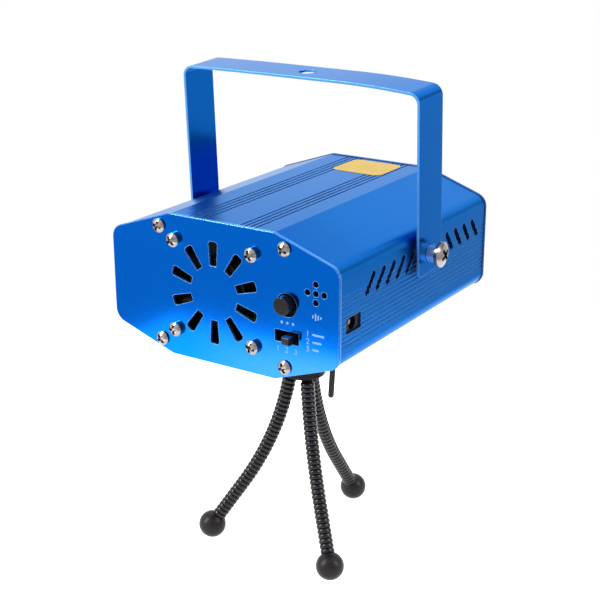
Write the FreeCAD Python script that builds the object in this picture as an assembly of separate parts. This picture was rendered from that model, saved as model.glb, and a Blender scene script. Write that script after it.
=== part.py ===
import FreeCAD, Part
import math
import os

# A party laser projector: an eight-sided extruded aluminium case with flat end panels, a swinging
# hanging yoke, a fan and controls at the rear, two lasers behind a turning grating at the front,
# and a small stand with three bendable ribbed legs. Millimetres, +Z up, +Y is the way the beams go.
# The origin is on the floor, on the axis of the stand.

V = FreeCAD.Vector
X, Y, Z = V(1, 0, 0), V(0, 1, 0), V(0, 0, 1)

# Case
case_width = 92.0
case_height = 50.0
case_length = 104.0
case_wall = 2.0
top_flat = 42.4
side_flat = 32.8
side_corner_r = 5.0
top_corner_r = 2.0
case_ahead = 2.24
panel_thick = 1.0
panel_proud = 0.3
panel_bevel = 0.25

# Ornamental grooves along the extrusion
top_groove_count = 4
top_groove_pitch = 2.0
top_groove_width = 0.9
top_groove_depth = 0.35
top_groove_x = 10.2
side_groove_count = 11
side_groove_pitch = 1.65
side_groove_width = 0.6
side_groove_depth = 0.25
side_groove_low = -10.0

# Slanted vents in the two sides
vent_count = 5
vent_pitch = 6.8
vent_width = 2.4
vent_rise = 5.4
vent_lean = 4.2
vent_low = 4.3
rear_vent_y = -35.4
front_vent_y = 45.7

# Clearances
thread_gap = 0.05
press_gap = 0.03
run_gap = 0.1
seat_gap = 0.05
hole_gap = 0.2

# Pan head screws with a cross recess
screw_r = 1.5
screw_head_r = 2.5
screw_head_h = 1.7
head_side_h = 0.6
fan_head_h = 2.6
recess_width = 1.0
recess_length = 3.5
recess_depth = 1.1
recess_turn = 37.0
panel_screw_length = 9.0
port_wall = 1.1
port_from_flat = 4.2
port_from_top = 4.7
nut_thick = 2.4
nut_across = 5.5

# Fan and its grille
fan_edge_gap = 3.0
fan_port_gap = 2.4
fan_board_gap = 1.3
fan_depth = 10.0
fan_corner_r = 3.4
fan_screw_share = 0.8
fan_rim = 1.2
fan_up = 0.45
blade_count = 7
blade_thick = 0.8
blade_pitch_angle = 38.0
blade_tip_gap = 0.8
blade_length = 7.4
rotor_wall = 1.2
rotor_front_gap = 0.9
rotor_back_gap = 0.6
plate_thick = 1.6
strut_width = 2.0
bearing_length = 5.4
bearing_r = 2.5
tube_wall = 1.1
shaft_r = 1.0
grille_count = 10
grille_rim = 0.7
grille_drop = 0.4
grille_length = 8.5
grille_in_width = 2.8
grille_out_width = 3.8
slot_corner_r = 1.1

# Control board and what it carries
board_thick = 1.6
board_back = 7.5
board_edge_gap = 1.5
board_width = 24.2
board_height = 29.0
pot_from_board = 7.8
pot_up = 1.9
pot_hole_gap = 0.85
pot_hole_drop = 0.5
pot_size = 9.8
pot_depth = 6.0
pot_shaft_r = 2.0
knob_base_r = 3.2
knob_face_r = 3.1
knob_proud = 3.3
knob_gap = 0.5
knob_edge_r = 0.4
flute_count = 24
flute_r = 0.22
knob_wall = 1.0
switch_from_board = 7.9
switch_up = -9.5
switch_length = 12.2
switch_height = 5.6
switch_depth = 5.6
switch_wall = 0.8
window_length = 9.4
window_height = 4.2
slider_length = 3.0
slider_height = 2.6
slider_base_length = 5.0
slider_base_depth = 1.6
slider_proud = 4.0
slider_at = 1.9
slider_edge_r = 0.4
mic_from_board = 19.0
mic_up = 7.4
mic_r = 4.7
mic_depth = 6.6
mic_hole_r = 1.1
mic_hole_pitch = 3.1
jack_y = -43.8
jack_up = -3.5
jack_window_length = 9.4
jack_window_height = 5.4
jack_depth = 12.4
jack_recess = 0.8
jack_bore_r = 2.3
jack_bore_depth = 9.0
jack_pin_r = 0.82
jack_pin_recess = 1.0
standoff_r = 2.0
standoff_x = (2.8, 19.6)
standoff_up = (11.2, -11.6)
small_screw_r = 1.0
small_head_r = 1.9
small_head_h = 1.3
small_screw_length = 5.0

# Front window
bezel_r = 14.5
bezel_proud = 1.5
barrel_r = 11.9
barrel_inside = 3.6
window_r = 8.5
glass_r = 10.0
glass_thick = 1.5
glass_inset = 0.4
ring_nut_r = 14.0
ring_nut_thick = 2.0

# Turning grating and its drive
gear_pitch_r = 12.6
gear_teeth = 42
pinion_teeth = 14
pressure_angle = 20.0
tooth_top = 0.8
tooth_foot = 1.25
tooth_backlash = 0.16
flank_steps = 4
gear_thick = 3.0
gear_behind_panel = 4.6
grating_bore_r = 8.0
journal_r = 10.0
film_r = 9.0
film_thick = 0.6
clip_r = 10.8
clip_thick = 0.8
clip_groove = 0.5
clip_tail = 1.0
motor_r = 5.0
motor_length = 13.0
motor_boss_r = 2.6

# Optics chassis and lasers
chassis_thick = 2.0
chassis_width = 38.0
chassis_rear_y = -36.0
upright_gap = 0.5
upright_left = 22.4
upright_top_gap = 7.0
insert_room = 0.8
chassis_screw_x = 12.0
chassis_screw_y = 34.0
chassis_screw_length = 4.5
laser_r = 5.0
laser_spread = 11.6
laser_length = 28.0
laser_tail = 3.0
lens_r = 3.0
lens_thick = 1.8
lens_inset = 0.4
block_width = 28.0
block_length = 20.0
block_rear_y = 7.0
block_top = 8.0
block_foot = 6.0
block_foot_thick = 4.0
block_screw_length = 5.8
grub_length = 2.4
driver_length = 24.0
driver_width = 32.0
driver_rear_y = -35.0
driver_post_h = 4.0
driver_post_r = 2.2
driver_post_inset = 3.2
capacitor_r = 4.0
capacitor_h = 11.0
regulator_size = (10.0, 4.5, 8.0)
coil_r = 4.2
coil_h = 5.0

# Hanging yoke
yoke_thick = 0.9
yoke_width = 16.5
yoke_gap = 1.6
yoke_rise = 58.7
yoke_flat = 30.0
yoke_left_drop = 0.4
yoke_right_drop = 1.6
yoke_tail = 7.0
yoke_bend_r = 4.0
yoke_end_r = 1.5
yoke_lean = 2.85
yoke_y = 3.5
yoke_up = 8.3
hang_hole_r = 3.2
yoke_screw_r = 2.0
yoke_head_r = 4.5
yoke_head_h = 2.6
yoke_head_side = 1.2
yoke_recess_length = 4.8
yoke_recess_width = 1.3
yoke_recess_depth = 1.5
yoke_sleeve_r = 3.3
yoke_sleeve_length = 3.4
yoke_washer_r = 5.0
yoke_nut_thick = 3.2
yoke_nut_across = 7.0
yoke_screw_spare = 1.2
yoke_nut_turn = 30.0

# Stand head
camera_screw_r = 3.175
camera_screw_length = 5.6
screw_flange_r = 4.8
screw_flange_thick = 1.2
insert_wall = 1.8
insert_length = 7.0
insert_flange_r = 6.6
insert_flange_thick = 1.4
pad_thick = 1.0
platform_r = 9.0
platform_thick = 2.4
platform_rise = 7.8
platform_edge_r = 0.5
tongue_width = 5.0
tongue_r = 4.3
tongue_gap = 0.4
ear_thick = 2.4
ear_r = 4.5
ear_gap = 0.15
hub_r = 8.3
hub_thick = 4.5
hub_edge_r = 0.6
bolt_r = 1.5
bolt_head_r = 2.7
bolt_head_h = 1.7
bolt_gap = 0.15
lever_boss_r = 2.9
lever_boss_length = 9.2
lever_rod_r = 1.1
lever_length = 14.8
lever_rod_inset = 1.3
lever_lean = 6.0

# Bendable legs
leg_names = ("left", "middle", "right")
leg_azimuths = (-143.3, -41.5, 87.8)
leg_root_r = 4.9
leg_start_angle = 11.5
leg_end_angle = 35.2
leg_bend_r = 105.8
leg_top_run = 5.0
leg_end_run = 21.5
sleeve_r = 2.7
sleeve_groove = 0.38
sleeve_bore_r = 1.3
socket_gap = 0.45
rib_pitch = 1.85
rib_start = 1.8
rib_end_gap = 0.6
rib_shares = (0.0, 0.22, 0.68, 0.9)
core_r = 1.1
core_top_inset = 0.4
foot_r = 5.2
foot_grip = 3.0

# Places worked out from the sizes above
half_w = case_width / 2
half_h = case_height / 2
half_l = case_length / 2
inner_x = half_w - case_wall
inner_z = half_h - case_wall
rear_face_y = -half_l - panel_thick
front_face_y = half_l + panel_thick
port_x = top_flat / 2 + port_from_flat
port_z = half_h - port_from_top
screw_hole_r = screw_r + hole_gap
port_hole_r = screw_r + thread_gap
port_r = port_hole_r + port_wall

board_right = inner_x - board_edge_gap
board_left = board_right - board_width
board_y = -half_l + board_back
fan_right = board_left - fan_board_gap
fan_size = min(fan_right + port_x - fan_port_gap, 2 * (inner_z - fan_edge_gap))
fan_x = fan_right - fan_size / 2
fan_screw_pitch = fan_size * fan_screw_share
fan_bore_r = fan_size / 2 - fan_rim
rotor_r = fan_bore_r - blade_length
grille_out_r = fan_bore_r - grille_rim
grille_in_r = grille_out_r - grille_length
fan_back_y = -half_l + fan_depth
plate_y = fan_back_y - plate_thick
tube_r = bearing_r + press_gap + tube_wall
pot_x = board_left + pot_from_board
switch_x = board_left + switch_from_board
slider_x = switch_x + slider_at
mic_x = board_left + mic_from_board
knob_rear_y = board_y - pot_depth - knob_gap
knob_length = knob_rear_y - rear_face_y + knob_proud
jack_face_x = half_w - jack_recess

gear_module = 2 * gear_pitch_r / gear_teeth
pinion_pitch_r = gear_module * pinion_teeth / 2
drive_distance = gear_pitch_r + pinion_pitch_r
gear_front_y = half_l - gear_behind_panel
gear_back_y = gear_front_y - gear_thick
upright_y = gear_back_y - upright_gap
upright_back_y = upright_y - chassis_thick
floor_z = -inner_z
deck_z = floor_z + chassis_thick
upright_top_z = inner_z - upright_top_gap

leg_bend = math.radians(leg_end_angle - leg_start_angle)
leg_length = leg_top_run + leg_bend_r * leg_bend + leg_end_run
neck_r = sleeve_r - sleeve_groove
rib_count = int((leg_length - foot_r - rib_start - rib_end_gap) / rib_pitch)
leg_drop = (leg_top_run * math.cos(math.radians(leg_start_angle))
            + leg_bend_r * (math.sin(math.radians(leg_end_angle)) - math.sin(math.radians(leg_start_angle)))
            + leg_end_run * math.cos(math.radians(leg_end_angle)))
hub_z = foot_r + leg_drop
hub_top_z = hub_z + hub_thick
tilt_z = hub_top_z + tongue_gap + tongue_r
platform_z = tilt_z + platform_rise
platform_top_z = platform_z + platform_thick
case_bottom_z = platform_top_z + pad_thick + seat_gap
case_z = case_bottom_z + half_h
ear_in = tongue_width / 2 + ear_gap
ear_out = ear_in + ear_thick
insert_r = camera_screw_r + run_gap + insert_wall


def block(x0, x1, y0, y1, z0, z1):
    """A box between two corners."""
    return Part.makeBox(x1 - x0, y1 - y0, z1 - z0, V(x0, y0, z0))


def rod(radius, start, axis, length):
    """A cylinder from a point along a direction."""
    return Part.makeCylinder(radius, length, start, axis)


def rod_y(radius, x, z, y0, y1):
    """A cylinder along Y between two depths."""
    return rod(radius, V(x, y0, z), Y, y1 - y0)


def ring_y(outer, inner, x, z, y0, y1):
    """A ring about a line along Y."""
    return rod_y(outer, x, z, y0, y1).cut(rod_y(inner, x, z, y0, y1))


def aimed(shape, place, axis, turn=0.0):
    """Turns a shape made along +Z to point along an axis, at a place."""
    shape = shape.copy()
    shape.Placement = FreeCAD.Placement(place, FreeCAD.Rotation(Z, axis) * FreeCAD.Rotation(Z, turn))
    return shape


def in_case(shape):
    """Moves a shape from the middle of the case to its place above the stand."""
    return shape.translated(V(0, case_ahead, case_z))


def edges_along(shape, axis):
    """The straight edges of a solid that run along an axis."""
    found = []
    for edge in shape.Edges:
        if isinstance(edge.Curve, Part.Line) and abs(abs(edge.Curve.Direction.dot(axis)) - 1) < 1e-6:
            found.append(edge)
    return found


def octagon(inset, y0, y1, side_r, top_r):
    """The case's eight-sided section, moved inwards by an inset, as a bar along Y."""
    rise = half_h - side_flat / 2
    run = half_w - top_flat / 2
    slope = math.hypot(rise, run)
    wide, high = half_w - inset, half_h - inset
    flat = top_flat / 2 - inset * (slope - run) / rise
    side = side_flat / 2 - inset * (slope - rise) / run
    quarter = [V(flat, y0, high), V(wide, y0, side), V(wide, y0, -side), V(flat, y0, -high)]
    points = quarter + [V(-p.x, y0, p.z) for p in reversed(quarter)]
    bar = Part.Face(Part.makePolygon(points + points[:1])).extrude(V(0, y1 - y0, 0))
    corners = edges_along(bar, Y)
    sides = [e for e in corners if abs(e.Vertexes[0].X) > (flat + wide) / 2]
    tops = [e for e in corners if abs(e.Vertexes[0].X) < (flat + wide) / 2]
    return bar.makeFillet(side_r, sides).makeFillet(top_r, tops)


def screw_head(radius, height, side, recess):
    """A domed screw head along +Z with a cross recess."""
    length, width, depth = recess
    crown = height - side
    dome_r = (radius ** 2 + crown ** 2) / (2 * crown)
    head = rod(radius, V(0, 0, 0), Z, height)
    head = head.common(Part.makeSphere(dome_r, V(0, 0, height - dome_r)))
    cross = block(-length / 2, length / 2, -width / 2, width / 2, height - depth, height)
    cross = cross.fuse(block(-width / 2, width / 2, -length / 2, length / 2, height - depth, height))
    return head.cut(cross.removeSplitter())


def pan_screw(length, head_h=screw_head_h):
    """A pan head screw along +Z, with its seat at the origin."""
    side_h = head_h - screw_head_h + head_side_h
    head = screw_head(screw_head_r, head_h, side_h, (recess_length, recess_width, recess_depth))
    return head.fuse(rod(screw_r, V(0, 0, -length), Z, length)).removeSplitter()


def hex_nut(across, thick, hole_r):
    """A hexagon nut along +Z from the origin."""
    corner = across / 2 / math.cos(math.radians(30))
    points = [V(corner * math.cos(math.radians(60 * i)), corner * math.sin(math.radians(60 * i)), 0)
              for i in range(7)]
    nut = Part.Face(Part.makePolygon(points)).extrude(V(0, 0, thick))
    return nut.cut(rod(hole_r, V(0, 0, 0), Z, thick))


def port_places():
    """The four places where the end panels are screwed on."""
    return [(sx * port_x, sz * port_z) for sx in (-1, 1) for sz in (-1, 1)]


def fan_places():
    """The four corners of the fan's screw pattern."""
    half = fan_screw_pitch / 2
    return [(fan_x + sx * half, fan_up + sz * half) for sx in (-1, 1) for sz in (-1, 1)]


def standoff_places():
    """The two posts that carry the control board."""
    return [(board_left + x, z) for x, z in zip(standoff_x, standoff_up)]


def side_vent(y_low, lean):
    """One slanted vent through both sides of the case."""
    low, high = V(-half_w, y_low, vent_low), V(-half_w, y_low + lean, vent_low + vent_rise)
    along = high - low
    across = X.cross(along).normalize() * (vent_width / 2)
    corners = [low + across, high + across, high - across, low - across]
    cut = Part.Face(Part.makePolygon(corners + corners[:1])).extrude(V(case_width, 0, 0))
    for end in (low, high):
        cut = cut.fuse(rod(vent_width / 2, end, X, case_width))
    return cut


def case_grooves():
    """The fine grooves that run along the top, bottom and sides."""
    cuts = []
    first = -(top_groove_count - 1) / 2 * top_groove_pitch
    for group in (-1, 1):
        for i in range(top_groove_count):
            x = group * top_groove_x + first + i * top_groove_pitch
            for z in (half_h, -half_h):
                cuts.append(block(x - top_groove_width / 2, x + top_groove_width / 2, -half_l, half_l,
                                  z - top_groove_depth, z + top_groove_depth))
    for i in range(side_groove_count):
        z = side_groove_low + i * side_groove_pitch
        for x in (half_w, -half_w):
            cuts.append(block(x - side_groove_depth, x + side_groove_depth, -half_l, half_l,
                              z - side_groove_width / 2, z + side_groove_width / 2))
    return Part.makeCompound(cuts)


def case_shell():
    """The extruded case with its screw ports, vents, grooves and openings."""
    outer = octagon(0, -half_l, half_l, side_corner_r, top_corner_r)
    inner = octagon(case_wall, -half_l, half_l, side_corner_r, top_corner_r)
    shell = outer.cut(inner)
    for x, z in port_places():
        shell = shell.fuse(rod_y(port_r, x, z, -half_l, half_l).common(outer))
    for x, z in port_places():
        shell = shell.cut(rod_y(port_hole_r, x, z, -half_l, half_l))
    shell = shell.cut(case_grooves())
    vents = []
    for i in range(vent_count):
        vents.append(side_vent(rear_vent_y + i * vent_pitch, vent_lean))
        vents.append(side_vent(front_vent_y - i * vent_pitch, -vent_lean))
    shell = shell.cut(Part.makeCompound(vents))
    half_jack = jack_window_length / 2
    shell = shell.cut(block(inner_x - case_wall, half_w, jack_y - half_jack, jack_y + half_jack,
                            jack_up - jack_window_height / 2, jack_up + jack_window_height / 2))
    shell = shell.cut(rod(yoke_screw_r + run_gap, V(-half_w, yoke_y, yoke_up), X, case_width))
    shell = shell.cut(rod(insert_r + press_gap, V(0, -case_ahead, -half_h), Z, case_wall))
    for x in (-chassis_screw_x, chassis_screw_x):
        shell = shell.cut(rod(screw_hole_r, V(x, chassis_screw_y, -half_h), Z, case_wall))
    return shell


def panel(y_inner, y_outer):
    """A flat end panel with bevelled outer edges and its four screw holes."""
    plate = octagon(-panel_proud, min(y_inner, y_outer), max(y_inner, y_outer), side_corner_r, top_corner_r)
    rim = [e for e in plate.Edges if all(abs(v.Y - y_outer) < 1e-6 for v in e.Vertexes)]
    plate = plate.makeChamfer(panel_bevel, rim)
    for x, z in port_places():
        plate = plate.cut(rod_y(screw_hole_r, x, z, min(y_inner, y_outer), max(y_inner, y_outer)))
    return plate


def grille_slot(angle):
    """One wedge of the fan grille, wider at its outer end, where its corners are round."""
    near, far = grille_in_width / 2, grille_out_width / 2
    corners = [V(-near, 0, grille_in_r), V(near, 0, grille_in_r),
               V(far, 0, grille_out_r), V(-far, 0, grille_out_r)]
    cut = Part.Face(Part.makePolygon(corners + corners[:1])).extrude(V(0, panel_thick, 0))
    outer = [e for e in edges_along(cut, Y) if abs(e.Vertexes[0].Z - grille_out_r) < 1e-6]
    cut = cut.makeFillet(slot_corner_r, outer)
    cut.rotate(V(0, 0, 0), Y, angle)
    return cut.translated(V(fan_x, rear_face_y, fan_up - grille_drop))


def rear_panel():
    """The rear panel with the fan grille and the openings for the controls."""
    plate = panel(-half_l, rear_face_y)
    plate = plate.cut(Part.makeCompound([grille_slot(360 / grille_count * i) for i in range(grille_count)]))
    for x, z in fan_places():
        plate = plate.cut(rod_y(screw_hole_r, x, z, rear_face_y, -half_l))
    plate = plate.cut(rod_y(knob_base_r + pot_hole_gap, pot_x, pot_up - pot_hole_drop, rear_face_y, -half_l))
    plate = plate.cut(block(switch_x - window_length / 2, switch_x + window_length / 2, rear_face_y, -half_l,
                            switch_up - window_height / 2, switch_up + window_height / 2))
    step = mic_hole_pitch
    for x, z in ((0, 0), (step, 0), (-step, 0), (0, step), (0, -step)):
        plate = plate.cut(rod_y(mic_hole_r, mic_x + x, mic_up + z, rear_face_y, -half_l))
    return plate


def front_panel():
    """The front panel with the round hole for the window's barrel."""
    return panel(half_l, front_face_y).cut(rod_y(barrel_r + seat_gap, 0, 0, half_l, front_face_y))


def fan_frame():
    """The square fan frame with its struts, hub plate and bearing tube."""
    half = fan_size / 2
    frame = block(fan_x - half, fan_x + half, -half_l, fan_back_y, fan_up - half, fan_up + half)
    frame = frame.makeFillet(fan_corner_r, edges_along(frame, Y))
    frame = frame.cut(rod_y(fan_bore_r, fan_x, fan_up, -half_l, fan_back_y))
    for x, z in fan_places():
        frame = frame.cut(rod_y(screw_hole_r, x, z, -half_l, fan_back_y))
    spider = rod_y(rotor_r, fan_x, fan_up, plate_y, fan_back_y)
    reach = fan_bore_r + (half - fan_bore_r) / 2
    for long_x, long_z in ((reach, strut_width / 2), (strut_width / 2, reach)):
        spider = spider.fuse(block(fan_x - long_x, fan_x + long_x, plate_y, fan_back_y,
                                   fan_up - long_z, fan_up + long_z))
    tube = ring_y(tube_r, bearing_r + press_gap, fan_x, fan_up, plate_y - bearing_length, plate_y)
    return frame.fuse(spider).fuse(tube).removeSplitter()


def fan_rotor():
    """The impeller: a cup with pitched blades round it."""
    front, back = -half_l + rotor_front_gap, plate_y - rotor_back_gap
    cup = rod_y(rotor_r, fan_x, fan_up, front, back)
    cup = cup.cut(rod_y(rotor_r - rotor_wall, fan_x, fan_up, front + rotor_wall, back))
    tip_r = fan_bore_r - blade_tip_gap
    middle = (front + back) / 2
    chord = (back - front - 2 * blade_thick) / math.sin(math.radians(blade_pitch_angle))
    room = ring_y(tip_r, rotor_r - rotor_wall / 2, fan_x, fan_up, front, back)
    for i in range(blade_count):
        blade = block(-chord / 2, chord / 2, -blade_thick / 2, blade_thick / 2, 0, fan_bore_r)
        blade.rotate(V(0, 0, 0), Z, blade_pitch_angle)
        blade.rotate(V(0, 0, 0), Y, 360 / blade_count * i)
        cup = cup.fuse(blade.translated(V(fan_x, middle, fan_up)).common(room))
    return cup.cut(rod_y(shaft_r + press_gap, fan_x, fan_up, front, front + rotor_wall)).removeSplitter()


def fan_set():
    """The fan's pieces by name."""
    bearing_front = plate_y - bearing_length
    return {
        "fan_frame": fan_frame(),
        "fan_rotor": fan_rotor(),
        "fan_bearing": ring_y(bearing_r, shaft_r + run_gap, fan_x, fan_up, bearing_front, plate_y),
        "fan_shaft": rod_y(shaft_r, fan_x, fan_up, -half_l + rotor_front_gap, plate_y - run_gap),
        "fan_screws": Part.makeCompound([
            aimed(pan_screw(panel_thick + fan_depth + nut_thick, fan_head_h), V(x, rear_face_y, z), -Y,
                  recess_turn * i)
            for i, (x, z) in enumerate(fan_places())]),
        "fan_nuts": Part.makeCompound([
            aimed(hex_nut(nut_across, nut_thick, screw_r + thread_gap), V(x, fan_back_y, z), Y)
            for x, z in fan_places()]),
    }


def panel_screws(y_face, axis):
    """The four screws of one end panel."""
    return Part.makeCompound([
        aimed(pan_screw(panel_screw_length), V(x, y_face, z), axis, recess_turn * (i + 1))
        for i, (x, z) in enumerate(port_places())])


def control_board():
    """The circuit board behind the controls, notched for the power jack."""
    back_y = board_y + board_thick
    board = block(board_left, board_right, board_y, back_y, -board_height / 2, board_height / 2)
    half = jack_window_height / 2
    notch_x = jack_face_x - jack_depth - seat_gap
    board = board.cut(block(notch_x, board_right, board_y, back_y, jack_up - half, jack_up + half))
    for x, z in standoff_places():
        board = board.cut(rod_y(small_screw_r + thread_gap, x, z, board_y, back_y))
    return board


def speed_pot():
    """The potentiometer's body on the board, bored for its shaft."""
    half = pot_size / 2
    front = board_y - pot_depth
    pot = block(pot_x - half, pot_x + half, front, board_y, pot_up - half, pot_up + half)
    return pot.cut(rod_y(pot_shaft_r + run_gap, pot_x, pot_up, front, board_y - run_gap))


def speed_knob():
    """A tapered knob with fine flutes and a bore for its shaft."""
    face_y = knob_rear_y - knob_length
    knob = Part.makeCone(knob_base_r, knob_face_r, knob_length, V(pot_x, knob_rear_y, pot_up), -Y)
    rim = [e for e in knob.Edges if all(abs(v.Y - face_y) < 1e-6 for v in e.Vertexes)]
    knob = knob.makeFillet(knob_edge_r, rim)
    taper = math.degrees(math.atan2(knob_base_r - knob_face_r, knob_length))
    for i in range(flute_count):
        flute = rod(flute_r, V(0, -knob_length, 0), Y, 2 * knob_length)
        flute.rotate(V(0, 0, 0), X, taper)
        flute = flute.translated(V(0, face_y, knob_face_r + flute_r / 2))
        flute.rotate(V(0, 0, 0), Y, 360 / flute_count * i)
        knob = knob.cut(flute.translated(V(pot_x, 0, pot_up)))
    return knob.cut(rod_y(pot_shaft_r + press_gap, pot_x, pot_up, face_y + knob_wall, knob_rear_y))


def switch_body():
    """The slide switch's case, hollow at the front for its slider."""
    half_x, half_z = switch_length / 2, switch_height / 2
    front = board_y - switch_depth
    case = block(switch_x - half_x, switch_x + half_x, front, board_y, switch_up - half_z, switch_up + half_z)
    room_x, room_z = half_x - switch_wall, half_z - switch_wall
    floor = front + switch_wall + slider_base_depth + 2 * run_gap
    case = case.cut(block(switch_x - room_x, switch_x + room_x, front + switch_wall, floor,
                          switch_up - room_z, switch_up + room_z))
    slot_x, slot_z = window_length / 2, slider_height / 2 + run_gap
    return case.cut(block(switch_x - slot_x, switch_x + slot_x, front, front + switch_wall,
                          switch_up - slot_z, switch_up + slot_z))


def mode_slider():
    """The sliding button with the foot that keeps it in the switch."""
    half_x, half_z = slider_length / 2, slider_height / 2
    back = board_y - switch_depth + switch_wall + run_gap
    face_y = rear_face_y - slider_proud
    nub = block(slider_x - half_x, slider_x + half_x, face_y, back, switch_up - half_z, switch_up + half_z)
    rim = [e for e in nub.Edges if all(abs(v.Y - face_y) < 1e-6 for v in e.Vertexes)]
    nub = nub.makeFillet(slider_edge_r, rim)
    foot_x, foot_z = slider_base_length / 2, switch_height / 2 - switch_wall - run_gap
    foot = block(slider_x - foot_x, slider_x + foot_x, back, back + slider_base_depth,
                 switch_up - foot_z, switch_up + foot_z)
    return nub.fuse(foot).removeSplitter()


def jack_body():
    """The power jack's housing with its round socket facing +X."""
    half_y, half_z = jack_window_length / 2 - seat_gap, jack_window_height / 2 - seat_gap
    body = block(jack_face_x - jack_depth, jack_face_x, jack_y - half_y, jack_y + half_y,
                 jack_up - half_z, jack_up + half_z)
    body = body.cut(rod(jack_bore_r, V(jack_face_x, jack_y, jack_up), -X, jack_bore_depth))
    return body.cut(rod(jack_pin_r + press_gap, V(jack_face_x, jack_y, jack_up), -X, jack_depth - case_wall))


def control_set():
    """The control board, its parts and its fixings by name."""
    mic_front = board_y - mic_depth
    pin_start = jack_face_x - jack_depth + case_wall
    posts, screws = [], []
    for x, z in standoff_places():
        posts.append(ring_y(standoff_r, small_screw_r + thread_gap, x, z, -half_l, board_y))
        head = screw_head(small_head_r, small_head_h, small_head_h / 2,
                           (small_head_r, recess_width / 2, recess_depth / 2))
        screw = head.fuse(rod(small_screw_r, V(0, 0, -small_screw_length), Z, small_screw_length))
        screws.append(aimed(screw.removeSplitter(), V(x, board_y + board_thick, z), Y))
    return {
        "control_board": control_board(),
        "board_fixings": Part.makeCompound(posts + screws),
        "speed_pot": speed_pot(),
        "pot_shaft": rod_y(pot_shaft_r, pot_x, pot_up, knob_rear_y - knob_length + knob_wall + press_gap,
                           board_y - 2 * run_gap),
        "speed_knob": speed_knob(),
        "mode_switch": switch_body(),
        "mode_slider": mode_slider(),
        "microphone": rod_y(mic_r, mic_x, mic_up, mic_front, board_y),
        "power_jack": jack_body(),
        "power_jack_pin": rod(jack_pin_r, V(pin_start, jack_y, jack_up), X,
                              jack_depth - case_wall - jack_pin_recess),
    }


def window_set():
    """The window's barrel, ring nut and glass."""
    inner_y = half_l - barrel_inside
    seat_y = inner_y + glass_inset + glass_thick
    bezel = rod_y(barrel_r, 0, 0, inner_y, front_face_y).fuse(
        rod_y(bezel_r, 0, 0, front_face_y, front_face_y + bezel_proud)).removeSplitter()
    rim = [e for e in bezel.Edges if all(abs(v.Y - front_face_y - bezel_proud) < 1e-6 for v in e.Vertexes)]
    bezel = bezel.makeFillet(bezel_proud / 2, rim)
    bezel = bezel.cut(rod_y(window_r, 0, 0, inner_y, front_face_y + bezel_proud))
    bezel = bezel.cut(rod_y(glass_r + seat_gap, 0, 0, inner_y, seat_y))
    return {
        "window_bezel": bezel,
        "window_ring_nut": ring_y(ring_nut_r, barrel_r + thread_gap, 0, 0, half_l - ring_nut_thick, half_l),
        "window_glass": rod_y(glass_r, 0, 0, inner_y + glass_inset, seat_y),
    }


def gear_bar(teeth, y0, y1, turn):
    """An involute spur gear about the Y axis, with its first tooth turned from +X."""
    pitch_r = gear_module * teeth / 2
    angle = math.radians(pressure_angle)
    base_r = pitch_r * math.cos(angle)
    tip_r = pitch_r + tooth_top * gear_module
    root_r = pitch_r - tooth_foot * gear_module
    half_tooth = math.pi / (2 * teeth) - tooth_backlash / (2 * pitch_r) + math.tan(angle) - angle
    low_r = max(base_r, root_r)
    flank = [(root_r, half_tooth)] if root_r < base_r else []
    for i in range(flank_steps + 1):
        r = low_r + (tip_r - low_r) * i / flank_steps
        lean = math.acos(base_r / r)
        flank.append((r, half_tooth - math.tan(lean) + lean))
    points = []
    for k in range(teeth):
        middle = 2 * math.pi * k / teeth + math.radians(turn)
        for r, a in flank:
            points.append(V(r * math.cos(middle - a), y0, r * math.sin(middle - a)))
        for r, a in reversed(flank):
            points.append(V(r * math.cos(middle + a), y0, r * math.sin(middle + a)))
    return Part.Face(Part.makePolygon(points + points[:1])).extrude(V(0, y1 - y0, 0))


def grating_set():
    """The geared grating ring, its film and clip, and the small motor that turns it."""
    clip_front = upright_back_y - run_gap
    clip_back = clip_front - clip_thick
    journal_back = clip_back - clip_tail
    ring = gear_bar(gear_teeth, gear_back_y, gear_front_y, 0)
    ring = ring.fuse(rod_y(journal_r, 0, 0, journal_back, gear_back_y))
    ring = ring.cut(rod_y(grating_bore_r, 0, 0, journal_back, gear_front_y))
    ring = ring.cut(rod_y(film_r + press_gap, 0, 0, gear_front_y - film_thick, gear_front_y))
    groove = ring_y(journal_r, journal_r - clip_groove, 0, 0, clip_back - press_gap, clip_front + press_gap)
    pinion = gear_bar(pinion_teeth, gear_back_y, gear_front_y, 180 / pinion_teeth)
    pinion = pinion.translated(V(-drive_distance, 0, 0))
    pinion = pinion.cut(rod_y(shaft_r + press_gap, -drive_distance, 0, gear_back_y, gear_front_y))
    motor = rod_y(motor_r, -drive_distance, 0, upright_back_y - motor_length, upright_back_y)
    motor = motor.fuse(rod_y(motor_boss_r, -drive_distance, 0, upright_back_y, upright_y))
    shaft_start = upright_back_y - motor_length / 2
    motor = motor.cut(rod_y(shaft_r + run_gap, -drive_distance, 0, shaft_start - run_gap, upright_y))
    return {
        "grating_ring": ring.cut(groove),
        "grating_film": rod_y(film_r, 0, 0, gear_front_y - film_thick, gear_front_y),
        "grating_clip": ring_y(clip_r, journal_r - clip_groove + press_gap, 0, 0, clip_back, clip_front),
        "motor_pinion": pinion,
        "motor_shaft": rod_y(shaft_r, -drive_distance, 0, shaft_start, gear_front_y),
        "grating_motor": motor.removeSplitter(),
    }


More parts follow.
